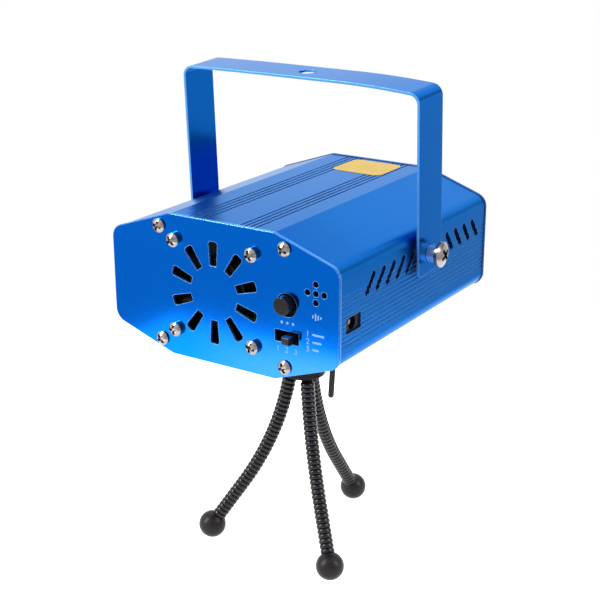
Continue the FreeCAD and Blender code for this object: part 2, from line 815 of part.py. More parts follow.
def optics_chassis():
    """The bent sheet with the lasers and the driver board on its floor and the grating on its upright."""
    half = chassis_width / 2
    sheet = block(-half, half, chassis_rear_y, upright_y, floor_z, deck_z)
    sheet = sheet.fuse(block(-upright_left, half, upright_back_y, upright_y, deck_z, upright_top_z))
    sheet = sheet.cut(rod_y(journal_r + run_gap, 0, 0, upright_back_y, upright_y))
    sheet = sheet.cut(rod_y(motor_boss_r + press_gap, -drive_distance, 0, upright_back_y, upright_y))
    sheet = sheet.cut(rod(insert_flange_r + insert_room, V(0, -case_ahead, floor_z), Z, chassis_thick))
    for x in (-chassis_screw_x, chassis_screw_x):
        sheet = sheet.cut(rod(screw_r + thread_gap, V(x, chassis_screw_y, floor_z), Z, chassis_thick))
    for x, y in block_screw_places():
        sheet = sheet.cut(rod(screw_r + thread_gap, V(x, y, floor_z), Z, chassis_thick))
    for x, y in driver_post_places():
        sheet = sheet.fuse(rod(driver_post_r, V(x, y, deck_z), Z, driver_post_h))
    return sheet.removeSplitter()


def driver_post_places():
    """The four posts on the chassis floor that carry the driver board."""
    x = driver_width / 2 - driver_post_inset
    y0 = driver_rear_y + driver_post_inset
    y1 = driver_rear_y + driver_length - driver_post_inset
    return [(-x, y0), (-x, y1), (x, y0), (x, y1)]


def block_screw_places():
    """The two screws that hold the laser block down."""
    x = block_width / 2 + block_foot / 2
    return [(-x, block_rear_y + block_length / 2), (x, block_rear_y + block_length / 2)]


def laser_places():
    """The two laser axes, side by side."""
    return [-laser_spread / 2, laser_spread / 2]


def laser_block():
    """The heat sink block with two bores and a foot at each side."""
    half = block_width / 2
    front_y = block_rear_y + block_length
    body = block(-half, half, block_rear_y, front_y, deck_z, block_top)
    wide = half + block_foot
    foot = block(-wide, wide, block_rear_y, front_y, deck_z, deck_z + block_foot_thick)
    body = body.fuse(foot).removeSplitter()
    for x in laser_places():
        body = body.cut(rod_y(laser_r + seat_gap, x, 0, block_rear_y, front_y))
        body = body.cut(rod(screw_r + thread_gap, V(x, block_rear_y + block_length / 2, 0), Z, block_top))
    for x, y in block_screw_places():
        body = body.cut(rod(screw_hole_r, V(x, y, deck_z), Z, block_foot_thick))
    return body


def laser_module(x):
    """One laser barrel with a recess for its lens."""
    rear = block_rear_y - laser_tail
    front = rear + laser_length
    return rod_y(laser_r, x, 0, rear, front).cut(
        rod_y(lens_r + press_gap, x, 0, front - lens_inset - lens_thick, front))


def laser_set():
    """The laser block, both lasers, their lenses and fixings."""
    front = block_rear_y - laser_tail + laser_length
    lenses, grubs = [], []
    for x in laser_places():
        lenses.append(rod_y(lens_r, x, 0, front - lens_inset - lens_thick, front - lens_inset))
        grubs.append(rod(screw_r, V(x, block_rear_y + block_length / 2, laser_r + seat_gap), Z, grub_length))
    screws = [aimed(pan_screw(block_screw_length), V(x, y, deck_z + block_foot_thick), Z, recess_turn)
              for x, y in block_screw_places()]
    return {
        "laser_block": laser_block(),
        "green_laser": laser_module(laser_places()[0]),
        "red_laser": laser_module(laser_places()[1]),
        "laser_lenses": Part.makeCompound(lenses),
        "laser_fixings": Part.makeCompound(screws + grubs),
    }


def driver_set():
    """The laser driver board with its main parts."""
    half = driver_width / 2
    front_y = driver_rear_y + driver_length
    top_z = deck_z + driver_post_h + board_thick
    board = block(-half, half, driver_rear_y, front_y, deck_z + driver_post_h, top_z)
    middle_y = (driver_rear_y + front_y) / 2
    long_x, long_y, tall = regulator_size
    regulator = block(0, long_x, 0, long_y, 0, tall)
    parts = [rod(capacitor_r, V(-half / 2, middle_y, top_z), Z, capacitor_h),
             regulator.translated(V(half / 2 - long_x / 2, middle_y, top_z)),
             rod(coil_r, V(0, middle_y - coil_r, top_z), Z, coil_h)]
    return {"driver_board": Part.makeCompound([board] + parts)}


def yoke_form(half_x, top, bend_r):
    """A solid as wide as the strip: its top is flat in the middle and bows down to two round bends."""
    flat = yoke_flat / 2
    reach = half_x - flat
    edges = [Part.makeLine(V(-flat, 0, top), V(flat, 0, top)),
             Part.makeLine(V(-half_x, 0, -yoke_tail), V(half_x, 0, -yoke_tail))]
    for side, drop in ((-1, yoke_left_drop), (1, yoke_right_drop)):
        bow_r = (reach ** 2 + drop ** 2) / (2 * drop)
        half_drop = bow_r - math.sqrt(bow_r ** 2 - (reach / 2) ** 2)
        bend = V(side * half_x, 0, top - drop)
        bow = Part.Arc(V(side * flat, 0, top), V(side * (flat + reach / 2), 0, top - half_drop), bend)
        edges += [bow.toShape(), Part.makeLine(bend, V(side * half_x, 0, -yoke_tail))]
    face = Part.Face(Part.Wire(Part.__sortEdges__(edges)))
    solid = face.extrude(V(0, yoke_width, 0)).translated(V(0, -yoke_width / 2, 0))
    tops = [e for e in edges_along(solid, Y) if e.Vertexes[0].Z > 0]
    return solid.makeFillet(bend_r, [e for e in tops if abs(e.Vertexes[0].X) > flat + reach / 2])


def yoke():
    """The bent strip that the projector hangs from, leaning a little to the rear."""
    out_x = half_w + yoke_gap + yoke_thick
    strip = yoke_form(out_x, yoke_rise, yoke_bend_r)
    strip = strip.cut(yoke_form(out_x - yoke_thick, yoke_rise - yoke_thick, yoke_bend_r - yoke_thick))
    ends = [e for e in edges_along(strip, X) if e.Vertexes[0].Z < 0]
    strip = strip.makeFillet(yoke_end_r, ends)
    strip = strip.cut(rod(yoke_screw_r + run_gap, V(-out_x, 0, 0), X, 2 * out_x))
    strip = strip.cut(rod(hang_hole_r, V(0, 0, 0), Z, yoke_rise + yoke_thick))
    strip.rotate(V(0, 0, 0), X, yoke_lean)
    return strip.translated(V(0, yoke_y, yoke_up))


def yoke_set():
    """The yoke and the screws, sleeves, washers and nuts of its two pivots."""
    leg_face = half_w + yoke_gap + yoke_thick
    sleeve_start = leg_face + run_gap
    head_seat = sleeve_start + yoke_sleeve_length
    nut_start = inner_x - yoke_nut_thick
    shank = head_seat - nut_start + yoke_screw_spare
    head = screw_head(yoke_head_r, yoke_head_h, yoke_head_side,
                       (yoke_recess_length, yoke_recess_width, yoke_recess_depth))
    screw = head.fuse(rod(yoke_screw_r, V(0, 0, -shank), Z, shank)).removeSplitter()
    screws, sleeves, washers, nuts = [], [], [], []
    for side in (-1, 1):
        axis = X * side
        screws.append(aimed(screw, V(side * head_seat, yoke_y, yoke_up), axis, recess_turn))
        sleeve = rod(yoke_sleeve_r, V(0, 0, 0), Z, yoke_sleeve_length)
        sleeve = sleeve.cut(rod(yoke_screw_r + seat_gap, V(0, 0, 0), Z, yoke_sleeve_length))
        sleeves.append(aimed(sleeve, V(side * sleeve_start, yoke_y, yoke_up), axis))
        thick = yoke_gap - run_gap
        washer = rod(yoke_washer_r, V(0, 0, 0), Z, thick)
        washer = washer.cut(rod(yoke_screw_r + seat_gap, V(0, 0, 0), Z, thick))
        washers.append(aimed(washer, V(side * half_w, yoke_y, yoke_up), axis))
        nut = hex_nut(yoke_nut_across, yoke_nut_thick, yoke_screw_r + thread_gap)
        nuts.append(aimed(nut, V(side * (nut_start - seat_gap), yoke_y, yoke_up), axis,
                          yoke_nut_turn))
    return {
        "yoke": yoke(),
        "yoke_screws": Part.makeCompound(screws),
        "yoke_sleeves": Part.makeCompound(sleeves),
        "yoke_washers": Part.makeCompound(washers),
        "yoke_nuts": Part.makeCompound(nuts),
    }


def tripod_insert():
    """The threaded bush in the floor of the case that takes the stand's screw."""
    place = V(0, -case_ahead, -half_h)
    bush = rod(insert_r, place, Z, insert_length)
    flange = rod(insert_flange_r, V(0, -case_ahead, floor_z), Z, insert_flange_thick)
    return bush.fuse(flange).removeSplitter().cut(rod(camera_screw_r + run_gap, place, Z, insert_length))


def case_set():
    """The case, its panels and their fixings."""
    chassis_screws = [aimed(pan_screw(chassis_screw_length), V(x, chassis_screw_y, -half_h), -Z, recess_turn)
                      for x in (-chassis_screw_x, chassis_screw_x)]
    return {
        "case_shell": case_shell(),
        "rear_panel": rear_panel(),
        "front_panel": front_panel(),
        "rear_panel_screws": panel_screws(rear_face_y, -Y),
        "front_panel_screws": panel_screws(front_face_y, Y),
        "optics_chassis": optics_chassis(),
        "chassis_screws": Part.makeCompound(chassis_screws),
        "tripod_insert": tripod_insert(),
    }


def platform():
    """The stand's round top with the tongue that tilts between the hub's ears."""
    disc = rod(platform_r, V(0, 0, platform_z), Z, platform_thick)
    disc = disc.makeFillet(platform_edge_r, [e for e in disc.Edges if e.isClosed()])
    half = tongue_width / 2
    tongue = block(-half, half, -tongue_r, tongue_r, tilt_z, platform_z)
    tongue = tongue.fuse(rod(tongue_r, V(-half, 0, tilt_z), X, tongue_width))
    top = disc.fuse(tongue).removeSplitter()
    top = top.cut(rod(bolt_r + run_gap, V(-half, 0, tilt_z), X, tongue_width))
    return top.cut(rod(screw_flange_r + seat_gap, V(0, 0, platform_top_z - screw_flange_thick), Z,
                       screw_flange_thick))


def camera_screw():
    """The stand's screw: a flange in the platform and a shank up into the case."""
    flange = rod(screw_flange_r, V(0, 0, platform_top_z - screw_flange_thick), Z, screw_flange_thick)
    shank = rod(camera_screw_r, V(0, 0, platform_top_z), Z, pad_thick + seat_gap + camera_screw_length)
    return flange.fuse(shank).removeSplitter()


def leg_root(azimuth):
    """The middle of a leg's socket under the hub."""
    turn = math.radians(azimuth)
    return V(leg_root_r * math.cos(turn), leg_root_r * math.sin(turn), hub_z)


def hub():
    """The round hub with two ears above it and a round socket under it for each leg."""
    disc = rod(hub_r, V(0, 0, hub_z), Z, hub_thick)
    disc = disc.makeFillet(hub_edge_r, [e for e in disc.Edges if e.isClosed()])
    for side in (-1, 1):
        start = ear_in if side > 0 else -ear_out
        ear = block(start, start + ear_thick, -ear_r, ear_r, hub_top_z - hub_edge_r, tilt_z)
        ear = ear.fuse(rod(ear_r, V(start, 0, tilt_z), X, ear_thick))
        disc = disc.fuse(ear)
    disc = disc.removeSplitter().cut(rod(bolt_r + run_gap, V(-ear_out, 0, tilt_z), X, 2 * ear_out))
    for azimuth in leg_azimuths:
        disc = disc.cut(Part.makeSphere(neck_r + socket_gap, leg_root(azimuth)))
    return disc


def lever_set():
    """The tilt bolt and the lever on its end, which hangs down and leans a little."""
    start = ear_out + bolt_gap
    bolt = rod(bolt_r, V(-start, 0, tilt_z), X, 2 * start + lever_boss_length / 2)
    bolt = bolt.fuse(rod(bolt_head_r, V(-start - bolt_head_h, 0, tilt_z), X, bolt_head_h)).removeSplitter()
    boss = rod(lever_boss_r, V(start, 0, tilt_z), X, lever_boss_length)
    rod_x = start + lever_boss_length - lever_rod_inset
    handle = rod(lever_rod_r, V(rod_x, 0, tilt_z), -Z, lever_length)
    handle = handle.fuse(Part.makeSphere(lever_rod_r, V(rod_x, 0, tilt_z - lever_length)))
    handle.rotate(V(rod_x, 0, tilt_z), X, -lever_lean)
    lever = boss.fuse(handle).removeSplitter()
    depth = lever_boss_length / 2 + press_gap
    return {
        "tilt_bolt": bolt,
        "tilt_lever": lever.cut(rod(bolt_r + press_gap, V(start, 0, tilt_z), X, depth)),
    }


def leg_station(s):
    """The point and slope of a leg's centre line at a length along it, for a leg that spreads along +X."""
    first, last = math.radians(leg_start_angle), math.radians(leg_end_angle)
    arc = leg_bend_r * leg_bend
    straight = min(s, leg_top_run)
    bend = min(max(s - leg_top_run, 0), arc) / leg_bend_r + first
    tail = max(s - leg_top_run - arc, 0)
    out = straight * math.sin(first) + leg_bend_r * (math.cos(first) - math.cos(bend)) + tail * math.sin(last)
    down = straight * math.cos(first) + leg_bend_r * (math.sin(bend) - math.sin(first))
    down += tail * math.cos(last)
    return V(leg_root_r + out, 0, hub_z - down), bend


def leg_ring(s, radius):
    """A circle square to a leg's centre line, with a steady X axis."""
    place, bend = leg_station(s)
    along = V(math.sin(bend), 0, -math.cos(bend))
    turn = FreeCAD.Rotation(Y, along.cross(Y), along, "XYZ")
    circle = Part.makeCircle(radius)
    circle.Placement = FreeCAD.Placement(place, turn)
    return Part.Wire([circle])


def leg_tube(radius, s0, s1):
    """A plain round tube along a leg, between two lengths along it."""
    arc_end = leg_length - leg_end_run
    stops = [s0] + [s for s in (leg_top_run, arc_end) if s0 < s < s1] + [s1]
    edges = []
    for a, b in zip(stops, stops[1:]):
        start, end = leg_station(a)[0], leg_station(b)[0]
        if a >= leg_top_run and b <= arc_end:
            edges.append(Part.Arc(start, leg_station((a + b) / 2)[0], end).toShape())
        else:
            edges.append(Part.makeLine(start, end))
    return Part.Wire(edges).makePipeShell([leg_ring(s0, radius)], True, False)


def leg_sleeve():
    """The ribbed sleeve with its bore and a round top end."""
    end = leg_length - foot_r + foot_grip
    rings = [leg_ring(0, neck_r)]
    for i in range(rib_count):
        for share, radius in zip(rib_shares, (neck_r, sleeve_r, sleeve_r, neck_r)):
            rings.append(leg_ring(rib_start + (i + share) * rib_pitch, radius))
    rings.append(leg_ring(end, neck_r))
    ribs = Part.makeLoft(rings, True, True)
    place, bend = leg_station(0)
    dome = Part.makeSphere(neck_r, place)
    away = V(-math.sin(bend), 0, math.cos(bend))
    half = rod(2 * sleeve_r, place, away, 2 * sleeve_r)
    return ribs.fuse(dome.common(half)).cut(leg_tube(sleeve_bore_r, 0, end))


def leg_foot():
    """The ball foot, bored for the end of the sleeve and the core."""
    grip_start = leg_length - foot_r
    place, bend = leg_station(leg_length)
    ball = Part.makeSphere(foot_r, place)
    ball = ball.cut(leg_tube(neck_r + seat_gap, grip_start - foot_grip, grip_start + foot_grip))
    return ball.cut(leg_tube(core_r + seat_gap, grip_start, leg_length))


def leg_set():
    """The three legs: each a sleeve, a bendable core and a ball foot."""
    made = {
        "leg_sleeve": leg_sleeve(),
        "leg_core": leg_tube(core_r, core_top_inset, leg_length - core_top_inset),
        "leg_foot": leg_foot(),
    }
    pieces = {}
    for name, azimuth in zip(leg_names, leg_azimuths):
        for kind, shape in made.items():
            turned = shape.copy()
            turned.rotate(V(0, 0, 0), Z, azimuth)
            pieces[f"{kind}_{name}"] = turned
    return pieces


def stand_set():
    """The stand: platform, pad, screw, hub, lever and legs."""
    pad = rod(platform_r, V(0, 0, platform_top_z), Z, pad_thick)
    pad = pad.cut(rod(camera_screw_r + 2 * hole_gap, V(0, 0, platform_top_z), Z, pad_thick))
    return {"tripod_platform": platform(), "tripod_pad": pad, "tripod_screw": camera_screw(),
            "tripod_hub": hub(), **lever_set(), **leg_set()}


def main():
    """Builds every piece and writes one file for each node."""
    os.makedirs("parts", exist_ok=True)
    pieces = {}
    for group in (case_set(), fan_set(), control_set(), window_set(), grating_set(), laser_set(),
                  driver_set(), yoke_set()):
        for name, shape in group.items():
            pieces[name] = in_case(shape)
    pieces.update(stand_set())
    for name, shape in pieces.items():
        shape.exportStep(f"parts/{name}.step")
    print(f"{len(pieces)} pieces, case middle {case_z:.3f}, hub {hub_z:.3f}, tilt axis {tilt_z:.3f}")
    print(f"leg length {leg_length:.2f}, ribs on each leg {rib_count}, core volume over section times length "
          f"{leg_tube(core_r, 0, leg_length).Volume / (math.pi * core_r ** 2 * leg_length):.4f}")


main()
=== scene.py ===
import math

import bmesh
import bpy
from bpy.props import FloatProperty, FloatVectorProperty, IntProperty, PointerProperty
from mathutils import Matrix, Vector


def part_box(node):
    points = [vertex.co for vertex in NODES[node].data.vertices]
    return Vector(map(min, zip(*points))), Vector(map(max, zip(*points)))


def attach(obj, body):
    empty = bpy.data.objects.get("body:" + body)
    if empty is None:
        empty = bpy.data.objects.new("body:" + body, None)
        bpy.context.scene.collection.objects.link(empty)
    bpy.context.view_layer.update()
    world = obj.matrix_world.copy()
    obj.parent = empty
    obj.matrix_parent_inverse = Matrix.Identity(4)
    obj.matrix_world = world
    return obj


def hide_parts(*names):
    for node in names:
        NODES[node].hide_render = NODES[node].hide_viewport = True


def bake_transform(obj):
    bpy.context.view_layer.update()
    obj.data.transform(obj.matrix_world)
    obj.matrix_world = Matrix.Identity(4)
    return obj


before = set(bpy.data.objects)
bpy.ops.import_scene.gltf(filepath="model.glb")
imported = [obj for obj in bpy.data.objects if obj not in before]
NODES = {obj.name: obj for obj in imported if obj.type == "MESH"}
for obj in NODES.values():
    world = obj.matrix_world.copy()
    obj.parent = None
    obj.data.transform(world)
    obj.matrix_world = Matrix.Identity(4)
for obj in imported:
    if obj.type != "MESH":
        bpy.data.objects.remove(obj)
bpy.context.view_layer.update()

# A party laser projector on its small stand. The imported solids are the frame: this file gives each of
# them its finish, makes the ribbed legs, the printed marks and the blank patch, and sets the stage.
# Metres, +Z up, the beams leave along +Y and the controls face -Y.

bl_info = {
    "name": "Laser Show Projector",
    "version": (1, 0, 0),
    "blender": (4, 5, 0),
    "location": "View3D > Sidebar > Projector",
    "description": "Gives a packed laser projector its finishes, ribbed legs, printed marks and stage",
    "category": "Object",
}

MM = 0.001

# Places read from the frame
PANEL_LOW, PANEL_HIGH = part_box("rear_panel")
PANEL_FACE_Y = PANEL_LOW.y
PANEL_MIDDLE = (PANEL_LOW + PANEL_HIGH) / 2
CASE_LOW, CASE_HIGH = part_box("case_shell")
CASE_TOP_Z = CASE_HIGH.z
CASE_MIDDLE = (CASE_LOW + CASE_HIGH) / 2
HUB_BOTTOM_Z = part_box("tripod_hub")[0].z

# The path of a leg's centre line below its socket
LEG_NAMES = ("left", "middle", "right")
LEG_AZIMUTHS = (math.radians(-143.3), math.radians(-41.5), math.radians(87.8))
LEG_ROOT_RADIUS = 4.9 * MM
LEG_START_ANGLE = math.radians(11.5)
LEG_END_ANGLE = math.radians(35.2)
LEG_BEND_RADIUS = 105.8 * MM
LEG_TOP_RUN = 5.0 * MM
LEG_END_RUN = 21.5 * MM
LEG_ARC = LEG_BEND_RADIUS * (LEG_END_ANGLE - LEG_START_ANGLE)
LEG_LENGTH = LEG_TOP_RUN + LEG_ARC + LEG_END_RUN
FOOT_RADIUS = 5.2 * MM
FOOT_GRIP = 3.0 * MM
RIB_START = 1.8 * MM
RIB_STEPS = 10
SLEEVE_TOP_STEPS = 6
BORE_STEPS = 28
CORE_INSET = 0.4 * MM
CORE_ROUNDING = 0.3 * MM
CORE_STEPS = 40
CORE_FACETS = 16

# Printed numbers, in millimetres across and up from the middle of the rear panel
NUMBERS = (
    ("1", 22.7, -14.1), ("2", 26.2, -14.1), ("3", 29.7, -14.1),
    ("1", 34.3, -6.7), ("2", 34.3, -9.3), ("3", 34.3, -11.9))
DIGIT_SHARE = 0.7  # height of a digit over the size of its font
# Printed bars and dots: the same two measures, then width and height
BARS = (
    (38.3, -6.7, 4.6, 0.7), (37.8, -9.3, 3.6, 0.7), (37.3, -11.9, 2.6, 0.7),
    (24.3, -4.6, 1.0, 1.0), (26.5, -4.6, 1.0, 1.0), (28.7, -4.6, 1.0, 1.0),
    (36.3, -0.5, 0.5, 1.2), (37.3, -0.5, 0.5, 2.4), (38.3, -0.5, 0.5, 1.7), (39.3, -0.5, 0.5, 0.9))
BAR_END_STEPS = 6
PATCH_CENTRE = Vector((2.0 * MM, CASE_MIDDLE.y + 39.5 * MM, CASE_TOP_Z))
PATCH_CORNER_STEPS = 8

# Soft boxes that face the object: name, place, width and height, and the value with the power
SOFT_BOXES = (
    ("key_box", (-0.55, -0.70, 0.65), (0.18, 0.75), "key_power"),
    ("top_box", (-0.05, 0.25, 1.0), (0.9, 0.9), "top_power"),
    ("side_box", (0.85, 0.15, 0.60), (0.18, 0.70), "side_power"))
SOFT_BOX_AIM = Vector((0.0, 0.0, 0.10))
LOW_STRIP_PLACE = Vector((-0.0625, -0.229, 0.002))
LOW_STRIP_SIZE = (0.265, 0.078)
FLOOR_FACETS = 96
LOOK_AT = CASE_MIDDLE + Vector((0.84, -5.89, -15.40)) * MM
SENSOR_WIDTH = 36.0

# What the finishes have in common: ranges of noise and masks, then plain values
GRAIN_RANGE = (0.3, 0.7)
LINE_RANGE = (0.2, 0.8)
EDGE_RANGE = (0.995, 0.9)
RECESS_RANGE = (0.92, 0.5)
EDGE_SAMPLES = 6
GRAZING_TINT = (0.605, 0.745, 0.83, 1.0)
BARE_METALLIC = 0.3
BARE_ROUGHNESS = 0.5
CREST_ROUGHNESS = 0.06
WHITE = (1.0, 1.0, 1.0, 1.0)


def colour(name, description, default):
    """A colour that a user may change."""
    return FloatVectorProperty(name=name, description=description, subtype="COLOR", size=3,
                               default=default, min=0.0, max=1.0)


def length(name, description, default):
    """A length that a user may change."""
    return FloatProperty(name=name, description=description, unit="LENGTH", default=default, min=0.0,
                         precision=5)


def turn(name, description, degrees):
    """An angle that a user may change."""
    return FloatProperty(name=name, description=description, subtype="ANGLE", default=math.radians(degrees))


def amount(name, description, default):
    """A plain amount that a user may change."""
    return FloatProperty(name=name, description=description, default=default, min=0.0)


def watts(name, description, default):
    """A light's power that a user may change."""
    return FloatProperty(name=name, description=description, unit="POWER", default=default)


class ProjectorColours(bpy.types.PropertyGroup):
    """Colours of the finishes"""
    panel_blue: colour("Panel blue", "Anodised colour of the two end panels", (0.00125, 0.128, 0.625))
    case_blue: colour("Case blue", "Anodised colour of the extruded case", (0.0019, 0.119, 0.469))
    yoke_blue: colour("Yoke blue", "Anodised colour of the hanging yoke", (0.0019, 0.119, 0.50))
    # Painted highlight: a redder tint at the low right of the rear panel, where it reflects the bright low
    # strip, stands for the washed-out colour of that highlight.
    low_highlight_blue: colour("Low blue", "Anodised colour at the low end of the rear panel", (0.034, 0.156, 0.625))
    edge_blue: colour("Edge blue", "Paler colour of the cut faces", (0.1125, 0.3625, 0.625))
    # The pale rims are partly bare metal at the cut and partly a painted highlight.
    rim_blue: colour("Rim blue", "Bare rims of the openings in the end panels", (0.17, 0.39, 0.62))
    # Painted highlight: the yoke's cut edges are made pale to stand for the light they catch, on top of the
    # bare cut.
    yoke_rim_highlight: colour("Yoke rim", "Cut edges of the yoke's sheet", (0.14, 0.40, 0.70))
    # Painted shade: the back faces of the front panel, seen along its rim, get this dark colour.
    shaded_back_blue: colour("Back blue", "Dull back of the front panel", (0.07, 0.09, 0.15))
    nickel: colour("Nickel", "Plating of the screws", (0.36, 0.325, 0.315))
    chrome: colour("Chrome", "Bright plating of the yoke's sleeves", (0.74, 0.75, 0.78))
    steel: colour("Steel", "Zinc plated steel inside the case", (0.60, 0.60, 0.61))
    brass: colour("Brass", "Turned brass", (0.80, 0.60, 0.27))
    aluminium: colour("Aluminium", "Milled heat sink", (0.78, 0.78, 0.79))
    plastic: colour("Black plastic", "Moulded black plastic", (0.0045, 0.0040, 0.0046))
    sleeve: colour("Leg black", "Coating of the ribbed legs", (0.0038, 0.0029, 0.0030))
    rubber: colour("Rubber", "Ball feet and pad", (0.0081, 0.0060, 0.0066))
    black_metal: colour("Black metal", "Painted lever, bolt and window ring", (0.0081, 0.0069, 0.0075))
    board: colour("Board green", "Solder mask of the circuit boards", (0.02, 0.15, 0.06))
    gear: colour("Gear white", "Plastic of the gears", (0.78, 0.77, 0.73))
    glass: colour("Glass", "Tint of the window and the lenses", (0.93, 0.97, 0.97))
    film: colour("Film", "Tint of the grating film", (0.90, 0.93, 0.97))
    ink: colour("Ink", "Printed marks on the rear panel", (0.11, 0.23, 0.44))
    patch: colour("Patch yellow", "Blank vinyl patch on the top", (0.34, 0.225, 0.026))
    floor: colour("Floor", "The plain floor", (0.45, 0.45, 0.45))


class ProjectorSizes(bpy.types.PropertyGroup):
    """Sizes of the pieces that are made here"""
    sleeve_radius: length("Leg radius", "Outside radius of the ribs on a leg", 2.7 * MM)
    rib_depth: length("Rib depth", "How far the ribs stand above the sleeve between them", 0.55 * MM)
    rib_pitch: length("Rib pitch", "Distance from one rib to the next", 1.85 * MM)
    sleeve_bore: length("Leg bore", "Radius of the bore of a sleeve", 1.3 * MM)
    core_radius: length("Core radius", "Radius of the bendable core", 1.1 * MM)
    bend_length: length("Bend length", "Length at the top of a leg that bends when it is splayed", 16.0 * MM)
    around: IntProperty(name="Facets around", description="Facets around a leg", default=36, min=8)
    digit_height: length("Digit height", "Height of the printed numbers", 2.0 * MM)
    ink_thickness: length("Ink thickness", "Thickness of the printed marks", 0.03 * MM)
    patch_width: length("Patch width", "Width of the blank patch", 21.0 * MM)
    patch_length: length("Patch length", "Length of the blank patch", 19.0 * MM)
    patch_corner: length("Patch corner", "Corner radius of the blank patch", 3.0 * MM)
    patch_thickness: length("Patch thickness", "Thickness of the vinyl", 0.14 * MM)


class ProjectorStage(bpy.types.PropertyGroup):
    """Camera, light and floor"""
    azimuth: turn("Azimuth", "How far round the camera stands from the rear panel", 32.944)
    elevation: turn("Elevation", "How far the camera looks down", 19.318)
    roll: turn("Roll", "How far the camera leans", 0.080)
    lens: FloatProperty(name="Lens", description="Focal length in millimetres", default=79.077, min=1.0)
    distance: length("Distance", "From the camera to the point it looks at", 0.48112)
    floor_radius: length("Floor radius", "How far the floor reaches", 0.32)
    floor_clear: length("Floor fade", "Radius at which the floor starts to fade", 0.22)
    floor_glow: amount("Floor glow", "Light that the floor gives off by itself", 1.04)
    key_power: watts("Key", "Power of the main soft box", 12.0)
    top_power: watts("Top", "Power of the overhead soft box", 6.4)
    side_power: watts("Side", "Power of the side soft box", 6.4)
    low_power: watts("Low", "Power of the low strip in front of the rear panel", 0.130)
    sky: amount("Backdrop", "Brightness of the backdrop behind the object", 1.50)
    room: amount("Room", "Brightness of the room on the camera's side", 1.22)


def add_node(tree, kind, sockets=None, **settings):
    """Adds a node with its settings, and with a constant or a link for each named input."""
    node = tree.nodes.new(kind)
    for key, value in settings.items():
        setattr(node, key, value)
    for key, value in (sockets or {}).items():
        if isinstance(value, bpy.types.NodeSocket):
            tree.links.new(value, node.inputs[key])
        else:
            node.inputs[key].default_value = value
    return node


def maths(tree, operation, first, second=0.0):
    """The result of one sum on two values or sockets."""
    return add_node(tree, "ShaderNodeMath", {0: first, 1: second}, operation=operation).outputs[0]


def remap(tree, value, low, high, to_low=0.0, to_high=1.0):
    """Maps a value from one range to another, held at its ends."""
    sockets = {"Value": value, "From Min": low, "From Max": high, "To Min": to_low, "To Max": to_high}
    return add_node(tree, "ShaderNodeMapRange", sockets).outputs["Result"]


def dot(tree, first, second):
    """How far two directions agree."""
    node = add_node(tree, "ShaderNodeVectorMath", {0: first, 1: second}, operation="DOT_PRODUCT")
    return node.outputs["Value"]


def mixed(tree, factor, first, second):
    """A mix of two colours."""
    node = add_node(tree, "ShaderNodeMix", data_type="RGBA")
    for index, value in ((0, factor), (6, first), (7, second)):
        if isinstance(value, bpy.types.NodeSocket):
            tree.links.new(value, node.inputs[index])
        elif index:
            node.inputs[index].default_value = (*value, 1.0)
        else:
            node.inputs[index].default_value = value
    return node.outputs[2]


def shade(base, share):
    """A colour made darker or brighter."""
    return [min(1.0, share * c) for c in base]


def new_group(name, inputs, outputs):
    """An empty shader node group with named sockets, and its two ends."""
    tree = bpy.data.node_groups.new(name, "ShaderNodeTree")
    for label, kind, value in inputs:
        tree.interface.new_socket(label, in_out="INPUT", socket_type=kind).default_value = value
    for label in outputs:
        kind = "NodeSocketVector" if label == "Normal" else "NodeSocketFloat"
        tree.interface.new_socket(label, in_out="OUTPUT", socket_type=kind)
    return tree, tree.nodes.new("NodeGroupInput").outputs, tree.nodes.new("NodeGroupOutput").inputs


def grain_group():
    """Fine moulded grain as a height, with a slow drift of tone."""
    tree, given, result = new_group("Fine grain", [("Scale", "NodeSocketFloat", 3000.0)], ["Height", "Tone"])
    place = add_node(tree, "ShaderNodeTexCoord").outputs["Object"]
    fine = add_node(tree, "ShaderNodeTexNoise", {"Vector": place, "Scale": given["Scale"], "Detail": 3.0})
    broad = add_node(tree, "ShaderNodeTexNoise", {"Vector": place, "Scale": 60.0, "Detail": 2.0})
    tree.links.new(fine.outputs["Fac"], result["Height"])
    tree.links.new(broad.outputs["Fac"], result["Tone"])
    return tree


def lines_group():
    """Fine drawn lines along the direction with the smallest stretch."""
    tree, given, result = new_group(
        "Drawn lines", [("Stretch", "NodeSocketVector", (3000.0, 30.0, 3000.0))], ["Height", "Tone"])
    place = add_node(tree, "ShaderNodeTexCoord").outputs["Object"]
    stretched = add_node(tree, "ShaderNodeMapping", {"Vector": place, "Scale": given["Stretch"]})
    pulled = stretched.outputs["Vector"]
    lines = add_node(
        tree, "ShaderNodeTexNoise", {"Vector": pulled, "Scale": 1.0, "Detail": 4.0, "Roughness": 0.65})
    broad = add_node(tree, "ShaderNodeTexNoise", {"Vector": pulled, "Scale": 0.15, "Detail": 2.0})
    tree.links.new(lines.outputs["Fac"], result["Height"])
    tree.links.new(broad.outputs["Fac"], result["Tone"])
    return tree


def edges_group():
    """A mask along the edges of a solid, as wide as the given width, and the normal of the rounded edge. The
    finishes paint their edges paler with the mask: partly worn, bare edges and partly a painted highlight.
    """
    tree, given, result = new_group(
        "Worn edges", [("Width", "NodeSocketFloat", 0.3 * MM)], ["Mask", "Normal"])
    bevel = add_node(tree, "ShaderNodeBevel", {"Radius": given["Width"]}, samples=EDGE_SAMPLES)
    rounded = bevel.outputs["Normal"]
    plain = add_node(tree, "ShaderNodeNewGeometry").outputs["Normal"]
    tree.links.new(remap(tree, dot(tree, rounded, plain), *EDGE_RANGE), result["Mask"])
    tree.links.new(rounded, result["Normal"])
    return tree


